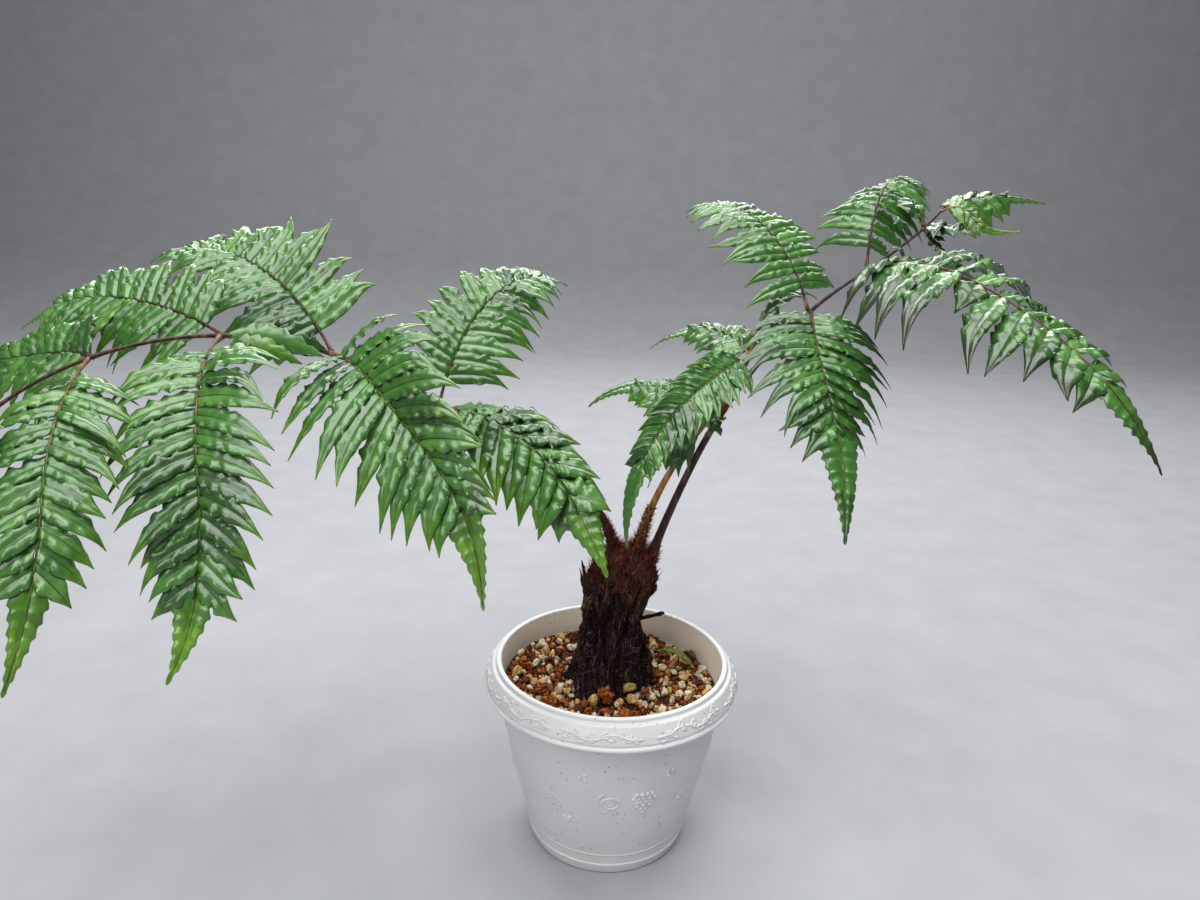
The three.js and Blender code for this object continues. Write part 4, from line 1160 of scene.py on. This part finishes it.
def bark_reach(up, bearing):
    """The distance of the bark's surface from the trunk's middle line."""
    t, b = TRUNK, BARK
    up, bearing = np.broadcast_arrays(np.asarray(up, float), np.asarray(bearing, float))
    turn = np.radians(bearing)
    ring = np.interp(up, t["up"], np.arange(len(t["up"])))
    even = np.interp(up, t["up"], t["radius"])
    ridge = t["ridge"] * np.sin(t["ridges"] * turn + np.radians(t["ridge_twist"]) * ring)
    hollow = t["hollow"] * np.sin(t["hollows"] * turn - np.radians(t["hollow_turn"]))
    rough = bark()
    row = np.clip(up / t["height"], 0, 1) * (b["rows"] - 1)
    column = bearing % 360 / 360 * b["columns"]
    i = np.minimum(row.astype(int), b["rows"] - 2)
    j = np.minimum(column.astype(int), b["columns"] - 1)
    above, beside = row - i, column - j
    low = rough[i, j] * (1 - beside) + rough[i, j + 1] * beside
    high = rough[i + 1, j] * (1 - beside) + rough[i + 1, j + 1] * beside
    relief = low * (1 - above) + high * above
    relief = relief + b["flare"] * np.sin(b["flares"] * turn) * np.exp(-up / b["flare_height"])
    depth, middle, width, height = FOOT_DENT
    relief = relief - depth * np.exp(-(apart(bearing, middle, width) ** 2) - up / height)
    for depth, middle, width, at, height in DENTS:
        near = apart(bearing, middle, width) ** 2 + ((up - at) / height) ** 2
        relief = relief - depth * np.exp(-near)
    relief = relief - cleft(up, bearing) + knobs(up, bearing)
    return even * (1 + ridge - hollow) + relief * np.minimum(1, even / b["full_from"])


def cleft(up, bearing):
    """How deep the upright clefts between the lobes of the trunk are."""
    deep = 0
    for middle, sway, width, depth, low, high in CLEFTS:
        off = middle + sway * np.sin(BARK["sways"] * up + middle)
        ends = np.clip((up - low) / BARK["fade"], 0, 1) * np.clip((high - up) / BARK["fade"], 0, 1)
        deep = deep + depth * ends * np.exp(-(apart(bearing, off, width) ** 2))
    return deep


def knobs(up, bearing):
    """How far the knobs and the scales of old stalks stand out."""
    proud = 0
    for middle, height, width, tall, out in KNOBS:
        near = apart(bearing, middle, width) ** 4 + ((up - height) / tall) ** 4
        proud = proud + out * np.exp(-near)
    return proud


def add_trunk():
    """The matted core, with upright ridges of root fibres, lumps and knobs."""
    rows, columns = 130, 220
    up = np.linspace(0, TRUNK["height"], rows)[:, None]
    bearing = np.linspace(0, 360, columns, endpoint=False)[None, :]
    points = trunk_point(up, bearing, bark_reach(up, bearing) - BARK["under"]).reshape(-1, 3)
    ends = [[0.0, 0.0, TRUNK["foot"]], trunk_point(TRUNK["height"], 0, 0)]
    pile = Pile(["fibre_dark", "fibre_brown", "bark_red", "bark_ochre"])
    shade = bark_shades(rows, columns)
    pile.add(np.concatenate([points, ends]), closed_faces(rows, columns), [shade, 0, 0])
    add_stubs(pile)
    pile.piece("trunk_core", "trunk", ["trunk"])


def bark_shades(rows, columns):
    """Dark bark low down, red-brown flecks towards the crown and one ochre scar."""
    f = FLECKS
    dark, brown, red, ochre = range(4)
    rng = np.random.default_rng(17)
    up, turn = np.meshgrid((np.arange(rows - 1) + 0.5) / (rows - 1),
                           (np.arange(columns) + 0.5) / columns * 360, indexing="ij")
    fleck = rng.random((rows // f["tall"] + 1, columns // f["wide"] + 1))
    fleck = np.repeat(np.repeat(fleck, f["tall"], 0), f["wide"], 1)[: rows - 1, :columns]
    fleck = fleck + rng.normal(0, f["ragged"], up.shape)
    shade = np.full(up.shape, dark)
    for color, (above, steep) in ((brown, f["brown"]), (red, f["red"])):
        shade[fleck < (up - above) * steep] = color
    least, more = f["knob"]
    shade[knobs(up * TRUNK["height"], turn) > least + more * fleck] = red
    middle, wide, at, tall = f["scar"]
    scar = ((turn - middle) / wide) ** 2 + ((up - at) / tall) ** 2
    shade[scar + rng.normal(0, f["scar_ragged"], up.shape) < 1] = ochre
    return shade.ravel()


def add_stubs(pile):
    """The torn feet of old stalks, split into splinters, and the small twig."""
    s, t = STUB, TWIG
    rng = np.random.default_rng(11)
    for middle, up, reach, top, thick in STUBS:
        for _ in range(s["splinters"]):
            bearing = middle + rng.normal(0, s["spread"])
            foot = trunk_point(up - s["sunk"], bearing, reach - s["inset"])
            length = (top + s["sunk"]) * rng.uniform(*s["lengths"])
            lean = rng.normal(0, s["lean"])
            low, high = s["rise"]
            route = Route(foot, length, (bearing, bearing + lean), (low, high + lean))
            distance = np.linspace(0, length, 12)
            point = route.at(distance)[0]
            point = point + rng.normal(0, s["jitter"], point.shape)
            radii = thick * rng.uniform(*s["radii"]) * (1 - (distance / length) ** 2)
            shade = rng.choice(["fibre_dark", "fibre_brown"])
            pile.add(*tube(point, radii + s["tip"], 6), shade)
    across = t["outer"] - t["inner"]
    length = np.hypot(across, t["rise"])
    tilt = np.degrees(np.arctan2(t["rise"], across))
    route = Route(trunk_point(t["up"], t["bearing"], t["inner"]), length, (t["bearing"],) * 2,
                  (tilt - t["bend"], tilt + t["bend"]))
    point = route.at(np.linspace(0, length, len(t["radii"])))[0]
    pile.add(*tube(point, t["radii"], 8), "fibre_dark")


def add_fibres():
    """Root fibres that run up and down the bark, curly and matted, loose ones, and a mesh of
    fine rootlets in all directions."""
    f = FIBRES
    rng = np.random.default_rng(23)
    shades = ["fibre_dark", "fibre_brown", "fibre_pale", "fibre_red"]
    pile = Pile(shades)
    share = np.linspace(0, 1, f["points"])
    for k in range(f["count"]):
        low = rng.uniform(*f["low"])
        span = rng.uniform(*f["span"])
        up = low + span * share + rng.normal(0, f["jitter"], f["points"])
        sway = rng.normal(0, f["sway"]) * (share - 0.5)
        sway = sway + np.cumsum(rng.normal(0, f["curl"], f["points"]))
        bearing = rng.uniform(0, 360) + sway
        lift = rng.uniform(*f["lift"])
        loose = rng.uniform(*f["loose"]) * (k % f["loose_every"] == 0)
        lift = lift + loose * share**2 + rng.normal(0, f["jitter"], f["points"])
        radii = rng.uniform(*f["thick"]) * (1 - f["taper"] * np.abs(2 * share - 1) ** 3)
        shade = fibre_shade(shades, low, f["pale"], rng)
        lay_fibre(pile, np.clip(up, *f["ends"]), bearing, lift, radii, shade)
    pile.piece("trunk_fibres", "trunk", ())
    r = ROOTLETS
    pile = Pile(shades)
    share = np.linspace(-0.5, 0.5, r["points"])
    for _ in range(r["count"]):
        middle = rng.uniform(*r["middle"])
        lean = np.radians(rng.normal(0, r["lean"]))
        reach = rng.uniform(*r["reach"])
        up = np.clip(middle + reach * np.cos(lean) * share, *r["ends"])
        around = np.degrees(reach * np.sin(lean) / r["radius"])
        bearing = rng.uniform(0, 360) + around * share + rng.normal(0, r["sway"], r["points"])
        lift = rng.uniform(*r["lift"])
        radii = rng.uniform(*r["thick"]) * (1 - (r["taper"] * share) ** 4)
        lay_fibre(pile, up, bearing, lift, radii, fibre_shade(shades, middle, r["pale"], rng))
    pile.piece("trunk_rootlets", "trunk", ())


def lay_fibre(pile, up, bearing, lift, radii, shade):
    """Adds a fibre that lies on the bark at these heights and bearings."""
    point = trunk_point(up, bearing, bark_reach(up, bearing) + lift)
    pile.add(*tube(point, radii, 3), shade)


def fibre_shade(shades, up, pale, rng):
    """A shade for a fibre at this height: redder towards the crown."""
    f = FIBRES
    red = f["red"] + f["red_high"] * (up / f["low"][1] > rng.uniform(*f["red_from"]))
    odds = [1 - f["brown"] - pale, f["brown"], pale]
    return rng.choice(shades, p=[(1 - red) * odd for odd in odds] + [red])


def add_hairs():
    """Reddish hairs on the stalks' feet and on the crown between them."""
    h = HAIRS
    rng = np.random.default_rng(31)
    pile = Pile(["hair_red", "fibre_dark"])
    for frond in FRONDS:
        route = stalk_route(frond)
        for _ in range(int(frond["hair"] * h["per_metre"])):
            distance = frond["hair"] * rng.random() ** h["gather"]
            point, along = route.at(distance)
            side = unit(np.cross(along, rng.normal(0, 1, 3)))
            start = point + side * stalk_radius(frond, distance) * h["inset"]
            way = along * rng.uniform(*h["lay"]) + side + rng.normal(0, h["stray"][0], 3)
            length = rng.uniform(*h["stalk"]) * (1 - h["shortening"] * distance / frond["hair"])
            add_hair(pile, start, unit(way), length, rng)
    for _ in range(h["side_count"]):
        up = rng.uniform(*h["side_up"])
        bearing = rng.uniform(0, 360)
        start = trunk_point(up, bearing, bark_reach(up, bearing) * h["side_inset"])
        way = direction(bearing, 0) * rng.uniform(*h["side_out"]) + UP
        way = unit(way + rng.normal(0, h["stray"][1], 3))
        add_hair(pile, start, way, rng.uniform(*h["side"]), rng)
    for _ in range(h["top_count"]):
        bearing = rng.uniform(0, 360)
        reach = bark_reach(TRUNK["height"], bearing) * np.sqrt(rng.random())
        start = trunk_point(TRUNK["height"] - h["sunk"], bearing, reach)
        way = unit(UP + rng.normal(0, h["stray"][2], 3))
        add_hair(pile, start, way, rng.uniform(*h["top"]), rng)
    pile.piece("crown_hairs", "trunk", ())


def add_hair(pile, start, way, length, rng):
    """Adds one bent hair, which thins towards its tip."""
    share = np.linspace(0, 1, len(HAIRS["radii"]))[:, None]
    bend = rng.normal(0, HAIRS["bend"], 3)
    point = start + way * length * share + bend * length * share**2
    shade = "hair_red" if rng.random() < HAIRS["red"] else "fibre_dark"
    pile.add(*tube(point, HAIRS["radii"], 3), shade)


# Filling

def soil_height(x, y):
    """The filling stands highest at the left, with a small heap at the trunk's front."""
    s = SOIL
    rise = s["rise"] + s["rise"] * np.cos(np.arctan2(y, x) - np.radians(s["highest"]))
    squared = (x - s["heap_at"][0]) ** 2 + (y - s["heap_at"][1]) ** 2
    heap = s["heap"] * np.exp(-squared / s["heap_wide"] ** 2)
    slope = np.clip((np.hypot(x, y) - s["level_to"]) / s["slope"], 0, 1)
    return s["middle"] - s["sunk"] + heap + rise * slope


def add_soil():
    """The bed under the granules, closed down to the pot's floor."""
    s = SOIL
    columns = s["columns"]
    reach = np.linspace(s["hole"], s["reach"], s["rings"])[:, None]
    turn = np.linspace(0, 2 * np.pi, columns, endpoint=False)
    z = soil_height(reach * np.cos(turn), reach * np.sin(turn)) - s["bed"]
    wall = [polar(inner_radius(height) - s["gap"], turn, height) for height in s["wall"]]
    points = np.concatenate([polar(reach, turn, z), wall])
    ends = [[0, 0, z[0, 0]], [0, 0, s["wall"][-1]]]
    faces = [one[:, ::-1] for one in closed_faces(len(points), columns)]
    pile = Pile(["soil"])
    pile.add(np.concatenate([points.reshape(-1, 3), ends]), faces, "soil")
    pile.piece("soil_bed", "granules", ["soil"])


@lru_cache(maxsize=None)
def ball(levels):
    """The points and the faces of a round ball."""
    mesh = bpy.data.meshes.new("ball")
    made = bmesh.new()
    bmesh.ops.create_icosphere(made, subdivisions=levels, radius=1)
    made.to_mesh(mesh)
    made.free()
    points = np.array([v.co for v in mesh.vertices])
    faces = np.array([tuple(p.vertices) for p in mesh.polygons])
    bpy.data.meshes.remove(mesh)
    return points, faces


def granule(place, size, angular, rng):
    """One granule: a ball pressed, chipped and knocked out of round."""
    g = GRAIN
    points, faces = ball(int(np.searchsorted(g["levels"], size)) + 1)
    shape = points * rng.uniform(*g["stretch"], 3)
    for _ in range(g["chips"][angular]):
        way = unit(rng.normal(0, 1, 3))
        cut = rng.uniform(*g["chip"])
        shape = shape - way * (np.maximum(0, shape @ way - cut) * g["chipped"])[:, None]
    lump = np.zeros(len(points))
    for frequency, *depths in LUMPS:
        way = rng.normal(0, 1, (3, 3))
        waves = np.sin(points @ way.T * frequency + rng.uniform(0, 6, 3))
        lump += depths[angular] * waves.mean(axis=1)
    shape = shape * (1 + lump * g["lump"])[:, None]
    axis = Matrix.Rotation(rng.uniform(0, 6.3), 3, Vector(unit(rng.normal(0, 1, 3))))
    return place + shape @ np.array(axis).T * size * g["size"], [faces]


def add_stone(pile, place, size, kind, rng):
    """A granule. A large one of clay is a crumbly lump, small rough grains that stick
    together."""
    c = CRUMB
    rough = kind in ("clay", "brown")
    lump = rough and size > c["least"]
    pile.add(*granule(place, size * c["core"] if lump else size, rough, rng), kind)
    for _ in range(c["grains"][int(size >= c["large"])] if lump else 0):
        way = unit(rng.normal(0, 1, 3))
        at = place + way * size * rng.uniform(*c["out"])
        pile.add(*granule(at, size * rng.uniform(*c["grain"]), True, rng), kind)


def add_granules():
    """Granules in layers, from large to small, none through the trunk or the wall."""
    s = SOIL
    rng = np.random.default_rng(41)
    kinds = ["clay", "brown", "ochre", "pumice", "olive"]
    pile = Pile(kinds)
    placed = np.array([(x, y, size) for x, y, _, size, _ in STONES])
    for x, y, z, size, kind in STONES:
        add_stone(pile, np.array([x, y, z]), size, kind, rng)
    for count, low, high, coarse in GRANULES:
        for _ in range(count):
            size = rng.uniform(low, high)
            most = s["reach"] - size - s["gap"]
            reach = np.sqrt(rng.uniform(s["trunk"] ** 2, most**2))
            turn = rng.uniform(0, 2 * np.pi)
            x, y = reach * np.cos(turn), reach * np.sin(turn)
            away = np.hypot(placed[:, 0] - x, placed[:, 1] - y)
            if np.any(away < s["crowding"] * (placed[:, 2] + size)):
                continue
            placed = np.vstack([placed, [x, y, size]])
            z = soil_height(x, y) + size * rng.uniform(*s["proud"]) - s["settled"]
            front_right = np.cos(turn - np.radians(s["front_right"])) > s["front_share"]
            odds = COARSE[int(front_right)] if coarse else FINE
            kind = kinds[rng.choice(len(kinds), p=odds)]
            add_stone(pile, np.array([x, y, z]), size, kind, rng)
    pile.piece("granules", "granules", ())


def add_litter():
    """A fallen leaf and dry curls that lie on the filling at the back right."""
    w = WITHERED
    pile = Pile(["litter", "curl"])
    u = np.linspace(0, 1, 25)[:, None]
    v = np.linspace(-1, 1, 9)[None, :]
    for start, middle, end, wide, cup, shade in LITTER:
        across = unit(np.cross(np.subtract(end, start), UP))
        half = wide * np.sin(np.pi * (w["blunt"] + w["full"] * u))
        half = half * (1 + w["uneven"] * np.sin(17 * u + 2 * v))
        roll = cup * half * v**2 + w["crinkle"] * np.sin(21 * u + 3 * v)
        line = curve(start, middle, end, u)[:, None]
        grid = line + across * (half * v)[..., None] + UP * roll[..., None]
        pile.add(*shell(grid, w["thick"]), shade)
    pile.piece("litter", "granules", ())


# Pot

def wall_radius(height):
    """The outer radius of the foot band and of the wall above it."""
    p = POT
    band = np.interp(height, (0, p["foot_height"]), (p["base"] + p["bevel"], p["foot"]))
    share = (height - p["foot_height"]) / (p["wall_height"] - p["foot_height"])
    straight = p["foot"] + (p["wall_radius"] - p["foot"]) * share
    bulged = straight + p["bulge"] * np.sin(np.pi * share)
    return np.where(height < p["foot_height"], band, bulged)


def inner_radius(height):
    """The inner radius of the wall, which is never wider than the lip."""
    return np.minimum(wall_radius(height) - POT["wall"], POT["lip_inner"] - POT["lip_step"])


def rounded(points, radius, steps=5):
    """A profile with its corners rounded, apart from its two ends."""
    made = [points[0]]
    for before, corner, after in zip(points, points[1:], points[2:]):
        into, out = np.subtract(before, corner), np.subtract(after, corner)
        near, far = np.linalg.norm(into), np.linalg.norm(out)
        cut = min(radius, near * 0.45, far * 0.45)
        a, b = corner + into / near * cut, corner + out / far * cut
        made.extend(curve(a, corner, b, np.linspace(0, 1, steps)[:, None]))
    made.append(points[-1])
    return np.array(made, float)


def add_pot():
    """The foot band with its ridges, the wall, the skirt under the rim, the rim and the
    inside."""
    p = POT
    foot = [
        (0, 0), (p["base"], 0), (p["base"] + p["bevel"], p["bevel"]),
        (wall_radius(p["ridge_height"]) + p["ridge"], p["ridge_height"]),
        (wall_radius(p["ridge_height"] + p["ridge"]), p["ridge_height"] + p["ridge"]),
        (wall_radius(p["foot_height"] - p["ridge"]), p["foot_height"] - p["ridge"]),
        (wall_radius(p["foot_height"]) + p["foot_edge"], p["foot_height"]),
    ]
    heights = np.linspace(p["foot_height"] + p["bevel"], p["wall_height"], p["rings"])
    skirt = [
        (p["wall_radius"], p["groove_top"]),
        (p["wall_radius"] + p["wall"], p["groove_top"]),
        (p["skirt"] - p["wall"], p["skirt_height"] + p["ridge"]),
        (p["skirt"] - p["bead"], p["skirt_height"] - p["bevel"]),
        *BEAD,
        *rim_band(),
        *LIP_STEP,
        (p["lip"], p["height"] - p["ridge"]),
        (p["lip"] - p["ridge"], p["height"]),
        (p["lip_inner"] + p["ridge"], p["height"]),
        (p["lip_inner"], p["height"] - p["ridge"]),
    ]
    profile = rounded([
        *foot, *zip(wall_radius(heights), heights), *skirt,
        *((inner_radius(h), h) for h in p["inside"]),
        (p["base"] - p["wall"] - p["ridge"], p["floor"]), (0, p["floor"]),
    ], p["rounding"])
    ring = profile[1:-1]
    rows, columns = len(ring), p["segments"]
    turn = np.linspace(0, 2 * np.pi, columns, endpoint=False)
    points = polar(ring[:, :1], turn, ring[:, 1:]).reshape(-1, 3)
    # The inside faces take the brighter inside colour: the cream stain with painted light over the
    # shade inside the pot
    inner = ring[:, 0] < p["lip_inner"] + p["inner_edge"]
    inner &= np.arange(rows) > np.argmax(ring[:, 1])
    shade = np.repeat(inner[:-1], columns).astype(int)
    pile = Pile(["pot", "pot_inside"])
    ends = [[0, 0, 0], [0, 0, p["floor"]]]
    pile.add(np.concatenate([points, ends]), closed_faces(rows, columns), [shade, 0, 1])
    pile.piece("pot_body", "pot", ["pot"], sharp=p["sharp"])


def rim_band():
    """The rim band between the skirt's bead and the lip, as (radius, height) points."""
    return [
        (POT["skirt"] - POT["bead"], POT["groove_top"] - POT["ridge"]),
        (POT["skirt"] - 2.75 * POT["bead"], POT["height"] - 2 * POT["bead"]),
    ]


def rim_line(pile, at, x, z, thick):
    """A raised line on the rim band, from places in metres round it and up it."""
    start = (POT["skirt"], POT["skirt_height"] + POT["bead"])
    band = np.array([start, *rim_band(), (POT["lip"], POT["height"] - POT["ridge"])])
    height = VINE["height"] + z
    radius = np.interp(height, band[:, 1], band[:, 0])
    pile.add(*tube(polar(radius, at + x / VINE["radius"], height), thick, 6), "pot")


def on_wall(at, x, height, proud):
    """Points this proud of the wall, at places in metres from a bearing round it."""
    return polar(wall_radius(height) + proud, at + x / MOTIF["radius"], height)


def wall_line(pile, at, height, x, z, thick):
    """A raised line on the wall, from places in metres round it and up it."""
    pile.add(*tube(on_wall(at, x, height + z, -MOTIF["sunk"] * thick), thick, 6), "pot")


def add_ornament():
    """The moulded vine round the rim, and low motifs round the middle of the wall."""
    rng = np.random.default_rng(53)
    pile = Pile(["pot"])
    for k in range(VINE["sprays"]):
        spray(pile, np.radians(VINE["bearing"] + 360 * k / VINE["sprays"]), rng)
    motifs = dict(oval=oval, bunch=bunch, leaf=wall_leaf, rosette=rosette)
    for turn in (0, 120, 240):
        for kind, bearing, height, size in MOTIFS:
            motifs[kind](pile, np.radians(bearing + turn), height, size, rng)
    pile.piece("pot_ornament", "pot", ())


def spray(pile, at, rng):
    """One spray of the vine: a winding stem with leaves and scrolls on either side."""
    v = VINE
    t = np.linspace(-1, 1, 90)
    phase = rng.uniform(0, 2 * np.pi)
    wave = np.sin(v["waves"] * np.pi * t + phase) + v["wobble"] * np.sin(v["wobbles"] * t - phase)
    stem = v["rise"] * wave * (1 - v["fade"] * t**2)
    rim_line(pile, at, v["half"] * t, stem, v["thick"])
    for k, place in enumerate(np.linspace(-v["reach"], v["reach"], v["shoots"])):
        side = 1 if k % 2 else -1
        if k % 3 == 1:
            s = np.linspace(0, 1, 22)
            radius = v["scroll"] * (1 - v["narrowing"] * s)
            swing = v["swing"] * np.pi * s + rng.uniform(0, 1)
            x = side * (v["scroll"] - radius * np.cos(swing))
            z = side * radius * np.sin(swing)
        else:
            s = np.linspace(0, 2 * np.pi, 26)
            long, wide = rng.uniform(*v["leaf_long"]), rng.uniform(*v["leaf_wide"])
            lean = side * rng.uniform(*v["leaf_lean"])
            a = long * (1 - np.cos(s))
            b = wide * np.sin(s) * (1 + v["lobe"] * np.sin(v["lobes"] * s))
            x = a * np.cos(lean) - b * np.sin(lean)
            z = (a * np.sin(lean) + b * np.cos(lean)) * v["leaf_flat"]
        foot = np.interp(place, t, stem)
        rim_line(pile, at, v["half"] * place + x, foot + z, v["thick"] * v["fine"])


def oval(pile, at, height, size, rng):
    """A low oval round a scroll, with a crescent beside it."""
    o = OVAL
    turn = np.linspace(0, 2 * np.pi, 49)
    share = np.linspace(0, 1, 30)
    radius = o["scroll"] * size * (1 - o["narrowing"] * share)
    bow = np.linspace(*o["bow"], 22) * np.pi
    for angle, wide, high, thick in (
        (turn, size, o["high"] * size, o["line"]),
        (o["winding"] * share, radius, radius, o["scroll_line"]),
        (bow, o["bow_wide"] * size, o["bow_high"] * size, o["bow_line"]),
    ):
        wall_line(pile, at, height, wide * np.cos(angle), high * np.sin(angle), thick)


def rosette(pile, at, height, size, rng):
    """Five low loops round a middle."""
    loop = np.linspace(0, 2 * np.pi, 49)
    out, wide = MOTIF["loop_out"] * size, MOTIF["loop"] * size
    for turn in 2 * np.pi * np.arange(5) / 5:
        x = out * np.cos(turn) + wide * np.cos(loop)
        z = out * np.sin(turn) + wide * np.sin(loop)
        wall_line(pile, at, height, x, z, MOTIF["loop_line"])


def wall_leaf(pile, at, height, size, rng):
    """A low leaf of three rounded lobes on a short stem."""
    points, faces = ball(2)
    lean = rng.uniform(0, 2 * np.pi)
    for turn, out, long in LOBES:
        c, s = np.cos(lean + turn), np.sin(lean + turn)
        x, z = out * size * c, out * size * s
        lobe = points * np.array([long, MOTIF["lobe_thick"], long * MOTIF["lobe_wide"]]) * size
        along, proud, over = lobe.T[:, :, None]
        bearing = at + x / MOTIF["radius"]
        across, outward = polar(1, bearing + np.pi / 2, 0), polar(1, bearing, 0)
        solid = (along * c - over * s) * across + proud * outward + (along * s + over * c) * UP
        place = on_wall(at, x, height + z, -MOTIF["leaf_sunk"] * size)
        pile.add(place + solid, [faces], "pot")
    stem = -MOTIF["stem"] * size * np.linspace(0, 1, 8)
    wall_line(pile, at, height, stem * np.cos(lean), stem * np.sin(lean), MOTIF["stem_line"])


def bunch(pile, at, height, size, rng):
    """A low hanging bunch of round fruit."""
    points, faces = ball(3)
    wide, high = MOTIF["fruit_pitch"]
    for row, count in enumerate(MOTIF["fruits"]):
        for k in range(count):
            x = (k - (count - 1) / 2) * size * wide + rng.normal(0, MOTIF["uneven"])
            z = height + (2.5 - row) * size * high
            place = on_wall(at, x, z, -MOTIF["sunk"] * size)
            pile.add(place + points * size * rng.uniform(0.9, 1.1), [faces], "pot")


add_camera()
add_stage()
add_pot()
add_ornament()
add_soil()
add_granules()
add_litter()
add_trunk()
add_fibres()
add_stalks()
add_hairs()
add_ribs()
add_leaves()
add_singles()
